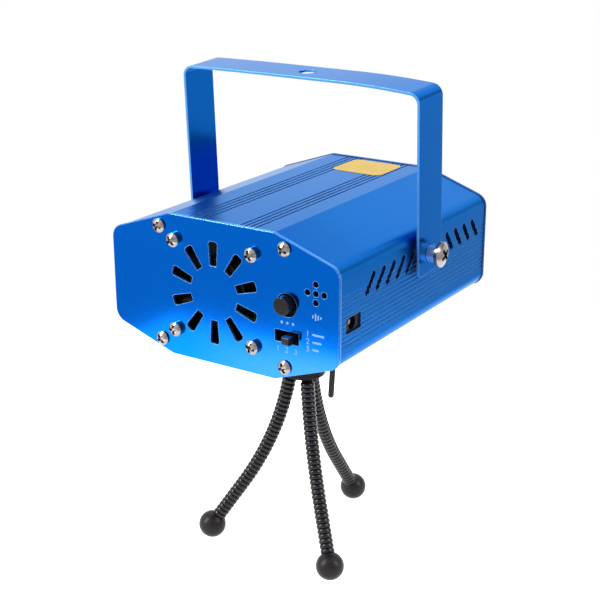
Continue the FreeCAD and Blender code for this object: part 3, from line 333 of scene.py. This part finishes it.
def cut_group():
    """Masks on the faces that look along a direction either way, square to it, and against it."""
    tree, given, result = new_group(
        "Cut faces", [("Direction", "NodeSocketVector", (0.0, 1.0, 0.0))], ["Along", "Square", "Against"])
    facing = add_node(tree, "ShaderNodeTexCoord").outputs["Normal"]
    along = dot(tree, facing, given["Direction"])
    turned = maths(tree, "ABSOLUTE", along)
    off, on = 0.35, 0.80
    tree.links.new(remap(tree, turned, off, on), result["Along"])
    tree.links.new(remap(tree, turned, on, off), result["Square"])
    tree.links.new(remap(tree, along, -off, -on), result["Against"])
    return tree


def recess_group():
    """A mask in hollows and inside corners, where shade falls; the plated finishes use it to paint shade into
    their colour.
    """
    tree, given, result = new_group("Recess dirt", [("Reach", "NodeSocketFloat", 1.1 * MM)], ["Mask"])
    air = add_node(
        tree, "ShaderNodeAmbientOcclusion", {"Distance": given["Reach"]}, samples=EDGE_SAMPLES).outputs["AO"]
    tree.links.new(remap(tree, air, *RECESS_RANGE), result["Mask"])
    return tree


NODE_GROUPS = {
    "Fine grain": grain_group, "Drawn lines": lines_group, "Worn edges": edges_group,
    "Cut faces": cut_group, "Recess dirt": recess_group}


def use_group(tree, name, sockets=None):
    """Places a shared node group in a material, made the first time that it is used."""
    group = bpy.data.node_groups.get(name) or NODE_GROUPS[name]()
    node = add_node(tree, "ShaderNodeGroup", node_tree=group)
    for key, value in (sockets or {}).items():
        node.inputs[key].default_value = value
    return node.outputs


def new_finish(name, sockets):
    """A material whose shader has these constant sockets."""
    material = bpy.data.materials.new(name)
    material.use_nodes = True
    shader = material.node_tree.nodes["Principled BSDF"]
    for key, value in sockets.items():
        shader.inputs[key].default_value = value
    return material, material.node_tree, shader.inputs


def bump(tree, shader, height, distance, normal=None):
    """Gives a shader a bump from a height, on top of a normal where there is one."""
    node = add_node(tree, "ShaderNodeBump", {"Height": height, "Distance": distance})
    if normal:
        tree.links.new(normal, node.inputs["Normal"])
    tree.links.new(node.outputs["Normal"], shader["Normal"])


def low_end(tree):
    """A mask that grows to the low right corner of a piece."""
    place = add_node(tree, "ShaderNodeTexCoord").outputs["Generated"]
    parts = add_node(tree, "ShaderNodeSeparateXYZ", {0: place}).outputs
    low = remap(tree, parts["Z"], 0.30, 0.08)
    right = remap(tree, parts["X"], 0.35, 1.0)
    return maths(tree, "MULTIPLY", low, right)


def anodised(name, blue, edge_colour, texture, rough, cut_mask, pale, wear_and_highlight, edge=0.2 * MM, low_highlight_blue=None):
    """Anodised aluminium: drawn lines, a slow drift of tone, and worn edges and cut faces that take the edge
    colour and are duller; that colour is partly bare metal and partly painted highlight, and on the back of
    the front panel painted shade.
    """
    material, tree, shader = new_finish(name, {"Specular Tint": GRAZING_TINT})
    stretch, depth = texture
    lines = use_group(tree, "Drawn lines", {"Stretch": stretch})
    cut = maths(tree, "MULTIPLY", use_group(tree, "Cut faces")[cut_mask], pale)
    edges = use_group(tree, "Worn edges", {"Width": edge})
    # Edge mask: partly worn, bare metal and partly a painted highlight along the edges.
    worn_and_highlit = maths(tree, "MULTIPLY", edges["Mask"], wear_and_highlight)
    bare_and_painted_light = maths(tree, "MAXIMUM", worn_and_highlit, cut)
    tone = mixed(tree, lines["Tone"], shade(blue, 0.92), blue)
    # Painted highlight tint, growing toward the low right corner.
    if low_highlight_blue:
        tone = mixed(tree, low_end(tree), tone, low_highlight_blue)
    # Edges and cut faces take the edge colour: bare metal with painted highlight on the rims, painted shade
    # on the back of the front panel.
    tree.links.new(mixed(tree, bare_and_painted_light, tone, edge_colour), shader["Base Color"])
    tree.links.new(remap(tree, bare_and_painted_light, 0.0, 1.0, 1.0, BARE_METALLIC), shader["Metallic"])
    drawn = remap(tree, lines["Height"], *LINE_RANGE, rough - 0.03, rough + 0.04)
    dull = maths(tree, "MULTIPLY", bare_and_painted_light, BARE_ROUGHNESS)
    tree.links.new(maths(tree, "MAXIMUM", drawn, dull), shader["Roughness"])
    bump(tree, shader, lines["Height"], depth, edges["Normal"])
    return material


def plated(name, base, rough, shade_strength=1.0):
    """Bright plated or turned metal with small dents, a drift of polish and painted shade in its recesses."""
    material, tree, shader = new_finish(name, {"Metallic": 1.0})
    grain = use_group(tree, "Fine grain", {"Scale": 2500.0})
    edges = use_group(tree, "Worn edges", {"Width": 0.15 * MM})
    # Painted shade: the colour goes nearly black where the occlusion mask finds a recess.
    recess_shade = maths(tree, "MULTIPLY", use_group(tree, "Recess dirt")["Mask"], shade_strength)
    tone = mixed(tree, grain["Tone"], shade(base, 0.78), base)
    # Brighter edges: partly worn and partly a painted highlight.
    worn_and_highlit = mixed(tree, edges["Mask"], tone, shade(base, 1.12))
    tree.links.new(mixed(tree, recess_shade, worn_and_highlit, shade(base, 0.05)), shader["Base Color"])
    polish = remap(tree, grain["Tone"], *GRAIN_RANGE, rough * 0.7, rough * 1.3)
    tree.links.new(polish, shader["Roughness"])
    bump(tree, shader, grain["Height"], 0.004 * MM)
    return material


def moulded(name, base, rough, scale, depth, shine=0.5, crests=0.0):
    """Moulded plastic or rubber: a fine grain, a drift of tone, paler edges that are partly worn and partly a
    painted highlight and, if asked, glossy crests.
    """
    material, tree, shader = new_finish(name, {"Specular IOR Level": shine})
    if crests:
        hollow = use_group(tree, "Recess dirt")["Mask"]
        tree.links.new(remap(tree, hollow, 0.0, 0.6, crests, 0.0), shader["Coat Weight"])
        shader["Coat Roughness"].default_value = CREST_ROUGHNESS
    grain = use_group(tree, "Fine grain", {"Scale": scale})
    edges = use_group(tree, "Worn edges", {"Width": 0.2 * MM})
    pale = [min(1.0, 1.5 * c + 0.006) for c in base]
    tone = mixed(tree, grain["Tone"], shade(base, 0.8), shade(base, 1.2))
    # Paler edges: partly worn and partly a painted highlight.
    worn_and_highlit = maths(tree, "MULTIPLY", edges["Mask"], 0.6)
    tree.links.new(mixed(tree, worn_and_highlit, tone, pale), shader["Base Color"])
    polish = remap(tree, grain["Height"], *GRAIN_RANGE, rough - 0.07, rough + 0.07)
    tree.links.new(polish, shader["Roughness"])
    bump(tree, shader, grain["Height"], depth)
    return material


def circuit_board(name, base):
    """Solder mask with paler tracks beneath it."""
    material, tree, shader = new_finish(name, {"Roughness": 0.35, "Coat Weight": 0.4})
    place = add_node(tree, "ShaderNodeTexCoord").outputs["Object"]
    bricks = add_node(tree, "ShaderNodeTexBrick", {"Vector": place, "Scale": 260.0, "Mortar Size": 0.08})
    tracks = bricks.outputs["Fac"]
    tree.links.new(mixed(tree, tracks, base, shade(base, 1.9)), shader["Base Color"])
    bump(tree, shader, tracks, 0.03 * MM)
    return material


def clear(name, base, rough, depth):
    """Clear glass or film with a faint ripple."""
    material, tree, shader = new_finish(name, {
        "Base Color": (*base, 1.0), "Transmission Weight": 1.0, "IOR": 1.5})
    grain = use_group(tree, "Fine grain", {"Scale": 700.0})
    polish = remap(tree, grain["Tone"], *GRAIN_RANGE, rough, rough + 0.03)
    tree.links.new(polish, shader["Roughness"])
    bump(tree, shader, grain["Height"], depth)
    return material


# Stretch and depth of the lines on an anodised face
SATIN = ((900.0, 900.0, 900.0), 0.0002 * MM)
DRAWN = ((4200.0, 30.0, 4200.0), 0.003 * MM)

FINISHES = {
    "panel_blue": lambda n, c: anodised(
        n, c.panel_blue, c.rim_blue, SATIN, rough=0.11, cut_mask="Square", pale=0.3, wear_and_highlight=0.9,
        edge=0.3 * MM, low_highlight_blue=c.low_highlight_blue),
    # Painted shade: the front panel is a darker copy of the rear panel's blue, and its back faces take the
    # dark back colour.
    "front_blue": lambda n, c: anodised(
        n, shade(c.panel_blue, 0.8), c.shaded_back_blue, SATIN, rough=0.11, cut_mask="Against", pale=0.9, wear_and_highlight=0.4),
    "case_blue": lambda n, c: anodised(
        n, c.case_blue, c.edge_blue, DRAWN, rough=0.28, cut_mask="Along", pale=0.1, wear_and_highlight=0.5),
    # The yoke's cut faces get a painted highlight colour.
    "yoke_blue": lambda n, c: anodised(
        n, c.yoke_blue, c.yoke_rim_highlight, SATIN, rough=0.20, cut_mask="Along", pale=0.6, wear_and_highlight=0.4, edge=0.3 * MM),
    "nickel": lambda n, c: plated(n, c.nickel, rough=0.21, shade_strength=0.7),
    "chrome": lambda n, c: plated(n, c.chrome, rough=0.26, shade_strength=0.1),
    "steel": lambda n, c: plated(n, c.steel, rough=0.34),
    "brass": lambda n, c: plated(n, c.brass, rough=0.25),
    "aluminium": lambda n, c: plated(n, c.aluminium, rough=0.38),
    "black_plastic": lambda n, c: moulded(
        n, c.plastic, rough=0.42, scale=3500.0, depth=0.01 * MM, shine=0.14),
    "gloss_plastic": lambda n, c: moulded(
        n, c.plastic, rough=0.20, scale=2500.0, depth=0.003 * MM, shine=0.25),
    "leg_black": lambda n, c: moulded(
        n, c.sleeve, rough=0.20, scale=2500.0, depth=0.005 * MM, shine=0.10, crests=0.5),
    "black_rubber": lambda n, c: moulded(
        n, c.rubber, rough=0.38, scale=3000.0, depth=0.008 * MM, shine=0.19),
    "black_metal": lambda n, c: moulded(
        n, c.black_metal, rough=0.36, scale=5000.0, depth=0.006 * MM, shine=0.25),
    "gear_plastic": lambda n, c: moulded(n, c.gear, rough=0.45, scale=2500.0, depth=0.006 * MM),
    "board": lambda n, c: circuit_board(n, c.board),
    "window_glass": lambda n, c: clear(n, c.glass, rough=0.01, depth=0.001 * MM),
    "grating_film": lambda n, c: clear(n, c.film, rough=0.08, depth=0.01 * MM),
    "ink": lambda n, c: moulded(n, c.ink, rough=0.5, scale=6000.0, depth=0.002 * MM),
    "patch_yellow": lambda n, c: moulded(n, c.patch, rough=0.60, scale=900.0, depth=0.006 * MM),
}


def finish(name):
    """The finish of that name, made the first time that a piece asks for it."""
    made = f"{name}_finish"
    return bpy.data.materials.get(made) or FINISHES[name](made, bpy.context.scene.projector_colours)


def dress(finish_name, *nodes):
    """Gives CAD nodes a finish."""
    for name in nodes:
        for holder in NODES[name].material_slots:
            holder.material = finish(finish_name)


def add_piece(name, shape, finish_name):
    """A new piece from a mesh under construction."""
    mesh = bpy.data.meshes.new(name)
    bmesh.ops.recalc_face_normals(shape, faces=shape.faces)
    shape.to_mesh(mesh)
    shape.free()
    piece = bpy.data.objects.new(name, mesh)
    bpy.context.scene.collection.objects.link(piece)
    mesh.materials.append(finish(finish_name))
    return piece


def leg_station(s, azimuth):
    """The point on a leg's centre line at a length along it, the direction there and the one square to it."""
    straight = min(s, LEG_TOP_RUN)
    angle = LEG_START_ANGLE + min(max(s - LEG_TOP_RUN, 0.0), LEG_ARC) / LEG_BEND_RADIUS
    tail = max(s - LEG_TOP_RUN - LEG_ARC, 0.0)
    out = (straight * math.sin(LEG_START_ANGLE) + tail * math.sin(LEG_END_ANGLE)
           + LEG_BEND_RADIUS * (math.cos(LEG_START_ANGLE) - math.cos(angle)))
    down = (straight * math.cos(LEG_START_ANGLE) + tail * math.cos(LEG_END_ANGLE)
            + LEG_BEND_RADIUS * (math.sin(angle) - math.sin(LEG_START_ANGLE)))
    spin = Matrix.Rotation(azimuth, 3, "Z")
    point = spin @ Vector((LEG_ROOT_RADIUS + out, 0.0, HUB_BOTTOM_Z - down))
    along = spin @ Vector((math.sin(angle), 0.0, -math.cos(angle)))
    return point, along, spin @ Vector((0.0, 1.0, 0.0))


def sweep_leg(loop, azimuth, around, closed=True):
    """Sweeps a section of (length, radius) points round the centre line of a leg, capped where it is open."""
    shape = bmesh.new()
    rings = []
    for s, radius in loop:
        point, along, side = leg_station(s, azimuth)
        across = along.cross(side)
        ring = []
        for i in range(around):
            angle = 2 * math.pi * i / around
            outward = math.cos(angle) * side + math.sin(angle) * across
            ring.append(shape.verts.new(point + radius * outward))
        rings.append(ring)
    for ring, after in zip(rings, rings[1:] + rings[:1] if closed else rings[1:]):
        for i in range(around):
            j = (i + 1) % around
            face = shape.faces.new((ring[i], ring[j], after[j], after[i]))
            face.smooth = True
    if not closed:
        shape.faces.new(rings[0])
        shape.faces.new(rings[-1])
    return shape


def sleeve_loop(sizes):
    """The section of a ribbed sleeve: a round top end, full round ribs and a plain bore."""
    neck = sizes.sleeve_radius - sizes.rib_depth
    bore = sizes.sleeve_bore
    loop = []
    for i in range(SLEEVE_TOP_STEPS + 1):
        angle = math.acos(bore / neck) * (1 - i / SLEEVE_TOP_STEPS)
        loop.append((-neck * math.sin(angle), neck * math.cos(angle)))
    end = LEG_LENGTH - FOOT_RADIUS + FOOT_GRIP
    span = LEG_LENGTH - math.sqrt(FOOT_RADIUS ** 2 - sizes.sleeve_radius ** 2) - RIB_START
    ribs = round(span / sizes.rib_pitch)
    pitch = span / ribs
    for rib in range(ribs):
        for i in range(RIB_STEPS):
            swing = math.pi * i / RIB_STEPS
            loop.append((RIB_START + (rib + (1 - math.cos(swing)) / 2) * pitch,
                         neck + sizes.rib_depth * math.sin(swing)))
    loop += [(RIB_START + span, neck), (end, neck)]
    start = loop[0][0]
    return loop + [(end + (start - end) * i / BORE_STEPS, bore) for i in range(BORE_STEPS)]


def core_loop(sizes):
    """The section of a bendable core: a rod with rounded ends."""
    radius = sizes.core_radius
    start, end = CORE_INSET, LEG_LENGTH - CORE_INSET
    first, last = start + CORE_ROUNDING, end - CORE_ROUNDING
    loop = [(start, radius - CORE_ROUNDING), (first, radius)]
    loop += [(first + (last - first) * i / CORE_STEPS, radius) for i in range(1, CORE_STEPS)]
    return loop + [(last, radius), (end, radius - CORE_ROUNDING)]


def text_shape(text, height, thickness):
    """The mesh of a short printed number, in the XY plane about its middle."""
    curve = bpy.data.curves.new("print", "FONT")
    curve.body = text
    curve.size = height / DIGIT_SHARE
    curve.align_x = "CENTER"
    curve.align_y = "CENTER"
    curve.extrude = thickness / 2
    curve.resolution_u = 3
    holder = bpy.data.objects.new("print", curve)
    bpy.context.scene.collection.objects.link(holder)
    bpy.context.view_layer.update()
    drawn = holder.evaluated_get(bpy.context.evaluated_depsgraph_get())
    mesh = bpy.data.meshes.new_from_object(drawn)
    bpy.data.objects.remove(holder)
    bpy.data.curves.remove(curve)
    return mesh


def close_sheet(shape, under, over):
    """Closes a thin sheet between two outlines with the same number of points."""
    shape.faces.new(under)
    shape.faces.new(over)
    for i in range(len(under)):
        j = (i + 1) % len(under)
        shape.faces.new((under[i], under[j], over[j], over[i]))


def add_bar(shape, x, z, width, height, thickness):
    """A printed bar with rounded ends, or a dot, on the rear panel."""
    radius = min(width, height) / 2
    reach = max(width, height) / 2 - radius
    outline = []
    for middle, start in ((reach, -math.pi / 2), (-reach, math.pi / 2)):
        for i in range(BAR_END_STEPS + 1):
            angle = start + math.pi * i / BAR_END_STEPS
            u, v = middle + radius * math.cos(angle), radius * math.sin(angle)
            outline.append((u, v) if width >= height else (-v, u))
    back = [shape.verts.new((x + u, PANEL_FACE_Y, z + v)) for u, v in outline]
    front = [shape.verts.new((x + u, PANEL_FACE_Y - thickness, z + v)) for u, v in outline]
    close_sheet(shape, back, front)


class ProjectorOperator:
    """What the operators share"""
    bl_options = {"REGISTER", "UNDO"}

    @property
    def sizes(self):
        return bpy.context.scene.projector_sizes


class PROJECTOR_OT_case(ProjectorOperator, bpy.types.Operator):
    """Finish the extruded case and its two end panels"""
    bl_idname = "projector.case"
    bl_label = "Case and Panels"

    def execute(self, context):
        dress("case_blue", "case_shell")
        dress("panel_blue", "rear_panel")
        dress("front_blue", "front_panel")
        return {"FINISHED"}


class PROJECTOR_OT_screws(ProjectorOperator, bpy.types.Operator):
    """Finish the screws, nuts and sleeves"""
    bl_idname = "projector.screws"
    bl_label = "Screws"

    def execute(self, context):
        dress("nickel", "rear_panel_screws", "front_panel_screws", "fan_screws", "chassis_screws",
              "yoke_screws")
        dress("chrome", "yoke_sleeves")
        dress("steel", "fan_nuts", "yoke_washers", "yoke_nuts", "board_fixings", "laser_fixings")
        return {"FINISHED"}


class PROJECTOR_OT_yoke(ProjectorOperator, bpy.types.Operator):
    """Finish the hanging yoke"""
    bl_idname = "projector.yoke"
    bl_label = "Yoke"

    def execute(self, context):
        dress("yoke_blue", "yoke")
        return {"FINISHED"}


class PROJECTOR_OT_fan(ProjectorOperator, bpy.types.Operator):
    """Finish the fan"""
    bl_idname = "projector.fan"
    bl_label = "Fan"

    def execute(self, context):
        dress("black_plastic", "fan_frame", "fan_rotor")
        dress("brass", "fan_bearing")
        dress("steel", "fan_shaft")
        return {"FINISHED"}


class PROJECTOR_OT_controls(ProjectorOperator, bpy.types.Operator):
    """Finish the control board and what it carries"""
    bl_idname = "projector.controls"
    bl_label = "Controls"

    def execute(self, context):
        dress("board", "control_board")
        dress("black_plastic", "speed_pot", "mode_switch", "microphone", "power_jack")
        dress("gloss_plastic", "speed_knob", "mode_slider")
        dress("steel", "pot_shaft")
        dress("nickel", "power_jack_pin")
        return {"FINISHED"}


class PROJECTOR_OT_window(ProjectorOperator, bpy.types.Operator):
    """Finish the front window"""
    bl_idname = "projector.window"
    bl_label = "Window"

    def execute(self, context):
        dress("black_metal", "window_bezel", "window_ring_nut")
        dress("window_glass", "window_glass")
        return {"FINISHED"}


class PROJECTOR_OT_grating(ProjectorOperator, bpy.types.Operator):
    """Finish the turning grating and its drive"""
    bl_idname = "projector.grating"
    bl_label = "Grating Drive"

    def execute(self, context):
        dress("gear_plastic", "grating_ring", "motor_pinion")
        dress("grating_film", "grating_film")
        dress("steel", "grating_clip", "motor_shaft", "grating_motor")
        return {"FINISHED"}


class PROJECTOR_OT_optics(ProjectorOperator, bpy.types.Operator):
    """Finish the lasers, their block, the chassis and the driver board"""
    bl_idname = "projector.optics"
    bl_label = "Lasers and Chassis"

    def execute(self, context):
        dress("steel", "optics_chassis")
        dress("aluminium", "laser_block")
        dress("brass", "green_laser", "red_laser", "tripod_insert")
        dress("window_glass", "laser_lenses")
        dress("board", "driver_board")
        return {"FINISHED"}


class PROJECTOR_OT_stand(ProjectorOperator, bpy.types.Operator):
    """Finish the stand's head, lever and ball feet"""
    bl_idname = "projector.stand"
    bl_label = "Stand Head and Feet"

    def execute(self, context):
        dress("black_plastic", "tripod_platform", "tripod_hub")
        dress("black_rubber", "tripod_pad", *[f"leg_foot_{name}" for name in LEG_NAMES])
        dress("black_metal", "tilt_bolt", "tilt_lever")
        dress("steel", "tripod_screw")
        return {"FINISHED"}


class PROJECTOR_OT_legs(ProjectorOperator, bpy.types.Operator):
    """Make the ribbed sleeves and the bendable cores of the legs"""
    bl_idname = "projector.legs"
    bl_label = "Ribbed Legs"

    def execute(self, context):
        sizes = self.sizes
        for name, azimuth in zip(LEG_NAMES, LEG_AZIMUTHS):
            ribbed = sweep_leg(sleeve_loop(sizes), azimuth, sizes.around)
            sleeve = add_piece(f"ribbed_leg_{name}", ribbed, "leg_black")
            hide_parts(f"leg_sleeve_{name}")
            rod = sweep_leg(core_loop(sizes), azimuth, CORE_FACETS, closed=False)
            core = add_piece(f"bending_core_{name}", rod, "steel")
            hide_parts(f"leg_core_{name}")
            for piece in (sleeve, core):
                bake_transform(piece)
        return {"FINISHED"}


class PROJECTOR_OT_marks(ProjectorOperator, bpy.types.Operator):
    """Print the plain numbers, bars and dots on the rear panel"""
    bl_idname = "projector.marks"
    bl_label = "Printed Marks"

    def execute(self, context):
        thick = self.sizes.ink_thickness
        shape = bmesh.new()
        upright = Matrix.Rotation(math.pi / 2, 4, "X")
        for digit, x, z in NUMBERS:
            mesh = text_shape(digit, self.sizes.digit_height, thick)
            place = Vector((PANEL_MIDDLE.x + x * MM, PANEL_FACE_Y - thick / 2, PANEL_MIDDLE.z + z * MM))
            mesh.transform(Matrix.Translation(place) @ upright)
            shape.from_mesh(mesh)
            bpy.data.meshes.remove(mesh)
        for x, z, width, height in BARS:
            add_bar(shape, PANEL_MIDDLE.x + x * MM, PANEL_MIDDLE.z + z * MM, width * MM, height * MM, thick)
        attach(add_piece("panel_marks", shape, "ink"), "projector")
        return {"FINISHED"}


class PROJECTOR_OT_patch(ProjectorOperator, bpy.types.Operator):
    """Lay the blank vinyl patch on the front end of the top"""
    bl_idname = "projector.patch"
    bl_label = "Blank Patch"

    def execute(self, context):
        sizes = self.sizes
        shape = bmesh.new()
        corner = sizes.patch_corner
        half_x, half_y = sizes.patch_width / 2 - corner, sizes.patch_length / 2 - corner
        outline = []
        corners = ((half_x, half_y), (-half_x, half_y), (-half_x, -half_y), (half_x, -half_y))
        for quarter, (x, y) in enumerate(corners):
            for i in range(PATCH_CORNER_STEPS + 1):
                angle = math.pi / 2 * (quarter + i / PATCH_CORNER_STEPS)
                outline.append((x + corner * math.cos(angle), y + corner * math.sin(angle)))
        low = [shape.verts.new(PATCH_CENTRE + Vector((x, y, 0.0))) for x, y in outline]
        high = [shape.verts.new(PATCH_CENTRE + Vector((x, y, sizes.patch_thickness))) for x, y in outline]
        close_sheet(shape, low, high)
        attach(add_piece("blank_patch", shape, "patch_yellow"), "projector")
        return {"FINISHED"}


class PROJECTOR_OT_stage(ProjectorOperator, bpy.types.Operator):
    """Set the floor, the soft boxes, the backdrop and the camera"""
    bl_idname = "projector.stage"
    bl_label = "Stage"

    def execute(self, context):
        stage = context.scene.projector_stage
        self.add_floor(stage)
        for name, place, size, power in SOFT_BOXES:
            self.add_softbox(name, Vector(place), SOFT_BOX_AIM, size, getattr(stage, power))
        overhead = LOW_STRIP_PLACE + Vector((0.0, 0.0, 1.0))
        self.add_softbox("low_strip", LOW_STRIP_PLACE, overhead, LOW_STRIP_SIZE, stage.low_power)
        self.set_world(context.scene, stage)
        self.add_camera(context.scene, stage)
        context.scene.view_settings.view_transform = "Standard"
        return {"FINISHED"}

    def add_floor(self, stage):
        """A plain round floor that fades out at its rim and is clear from below."""
        shape = bmesh.new()
        bmesh.ops.create_circle(shape, cap_ends=True, segments=FLOOR_FACETS, radius=stage.floor_radius)
        mesh = bpy.data.meshes.new("floor")
        shape.to_mesh(mesh)
        shape.free()
        floor = bpy.data.objects.new("floor", mesh)
        bpy.context.scene.collection.objects.link(floor)
        colour_of_floor = bpy.context.scene.projector_colours.floor
        material, tree, shader = new_finish("floor_white", {
            "Base Color": (*colour_of_floor, 1.0), "Roughness": 0.9, "Specular IOR Level": 0.1,
            "Emission Color": WHITE, "Emission Strength": stage.floor_glow})
        place = add_node(tree, "ShaderNodeTexCoord").outputs["Object"]
        reach = add_node(tree, "ShaderNodeVectorMath", {0: place}, operation="LENGTH").outputs["Value"]
        above = maths(tree, "SUBTRACT", 1.0, add_node(tree, "ShaderNodeNewGeometry").outputs["Backfacing"])
        fade = remap(tree, reach, stage.floor_radius, stage.floor_clear)
        tree.links.new(maths(tree, "MULTIPLY", fade, above), shader["Alpha"])
        mesh.materials.append(material)

    def add_softbox(self, name, place, aim, size, power):
        """A soft box that faces a point and isn't seen itself."""
        data = bpy.data.lights.new(name, "AREA")
        data.shape = "RECTANGLE"
        data.size, data.size_y = size
        data.energy = power
        box = bpy.data.objects.new(name, data)
        box.visible_camera = False
        box.location = place
        box.rotation_euler = (aim - place).to_track_quat("-Z", "Y").to_euler()
        bpy.context.scene.collection.objects.link(box)

    def set_world(self, scene, stage):
        """A bright backdrop behind the object, a dimmer room before it and a dark band at the right."""
        world = bpy.data.worlds.new("studio")
        world.use_nodes = True
        tree = world.node_tree
        tree.nodes.clear()
        direction = add_node(tree, "ShaderNodeTexCoord").outputs["Generated"]
        behind = (-math.sin(stage.azimuth), math.cos(stage.azimuth), 0.0)
        level = remap(tree, dot(tree, direction, behind), -0.2, 0.6, stage.room, stage.sky)
        parts = add_node(tree, "ShaderNodeSeparateXYZ", {0: direction}).outputs
        up, right = parts["Z"], parts["X"]
        near_ground = remap(tree, up, -0.4, 0.1, 0.68, 1.0)
        overhead = remap(tree, up, 0.35, 0.65, 1.0, 0.88)
        off_band = maths(tree, "ABSOLUTE", maths(tree, "SUBTRACT", up, 0.28))
        across_band = remap(tree, off_band, 0.05, 0.18, 0.5, 0.0)
        band = maths(tree, "MULTIPLY", across_band, remap(tree, right, 0.2, 0.45))
        to_right = maths(tree, "SUBTRACT", remap(tree, right, 0.1, 0.5, 1.0, 0.8), band)
        for share in (near_ground, overhead, to_right):
            level = maths(tree, "MULTIPLY", level, share)
        studio = add_node(tree, "ShaderNodeBackground", {"Strength": level, "Color": WHITE})
        plain = add_node(tree, "ShaderNodeBackground", {"Strength": 1.0, "Color": WHITE})
        seen = add_node(tree, "ShaderNodeLightPath").outputs["Is Camera Ray"]
        both = add_node(tree, "ShaderNodeMixShader", {0: seen, 1: studio.outputs[0], 2: plain.outputs[0]})
        add_node(tree, "ShaderNodeOutputWorld", {"Surface": both.outputs[0]})
        scene.world = world

    def add_camera(self, scene, stage):
        """The camera where the photograph was taken from."""
        back = Vector((math.sin(stage.azimuth) * math.cos(stage.elevation),
                       -math.cos(stage.azimuth) * math.cos(stage.elevation), math.sin(stage.elevation)))
        right = Vector((math.cos(stage.azimuth), math.sin(stage.azimuth), 0.0))
        up = back.cross(right)
        lean, rise = math.cos(stage.roll), math.sin(stage.roll)
        right, up = lean * right - rise * up, rise * right + lean * up
        data = bpy.data.cameras.new("camera")
        data.lens = stage.lens
        data.sensor_width = SENSOR_WIDTH
        camera = bpy.data.objects.new("camera", data)
        place = LOOK_AT + back * stage.distance
        camera.matrix_world = Matrix((
            (right.x, up.x, back.x, place.x), (right.y, up.y, back.y, place.y),
            (right.z, up.z, back.z, place.z), (0.0, 0.0, 0.0, 1.0)))
        scene.collection.objects.link(camera)
        scene.camera = camera


class VIEW3D_PT_projector(bpy.types.Panel):
    """Lists the projector's pieces and what may be changed"""
    bl_label = "Projector"
    bl_space_type = "VIEW_3D"
    bl_region_type = "UI"
    bl_category = "Projector"

    def draw(self, context):
        for operator in OPERATORS:
            self.layout.operator(operator.bl_idname)
        for group in VALUE_GROUPS:
            box = self.layout.box()
            values = getattr(context.scene, group)
            for key in values.__annotations__:
                box.prop(values, key)


OPERATORS = (
    PROJECTOR_OT_stage, PROJECTOR_OT_case, PROJECTOR_OT_screws, PROJECTOR_OT_yoke, PROJECTOR_OT_fan,
    PROJECTOR_OT_controls, PROJECTOR_OT_window, PROJECTOR_OT_grating, PROJECTOR_OT_optics, PROJECTOR_OT_stand,
    PROJECTOR_OT_legs, PROJECTOR_OT_marks, PROJECTOR_OT_patch)
VALUE_GROUPS = {
    "projector_colours": ProjectorColours,
    "projector_sizes": ProjectorSizes,
    "projector_stage": ProjectorStage,
}


def register():
    """Registers the values, the operators and the panel."""
    for name, group in VALUE_GROUPS.items():
        bpy.utils.register_class(group)
        setattr(bpy.types.Scene, name, PointerProperty(type=group))
    for operator in OPERATORS:
        bpy.utils.register_class(operator)
    bpy.utils.register_class(VIEW3D_PT_projector)


def unregister():
    """Takes everything out again."""
    bpy.utils.unregister_class(VIEW3D_PT_projector)
    for operator in reversed(OPERATORS):
        bpy.utils.unregister_class(operator)
    for name, group in VALUE_GROUPS.items():
        delattr(bpy.types.Scene, name)
        bpy.utils.unregister_class(group)


def main():
    """Registers the add-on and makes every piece."""
    register()
    for operator in OPERATORS:
        group, call = operator.bl_idname.split(".")
        getattr(getattr(bpy.ops, group), call)()


if __name__ == "__main__":
    main()
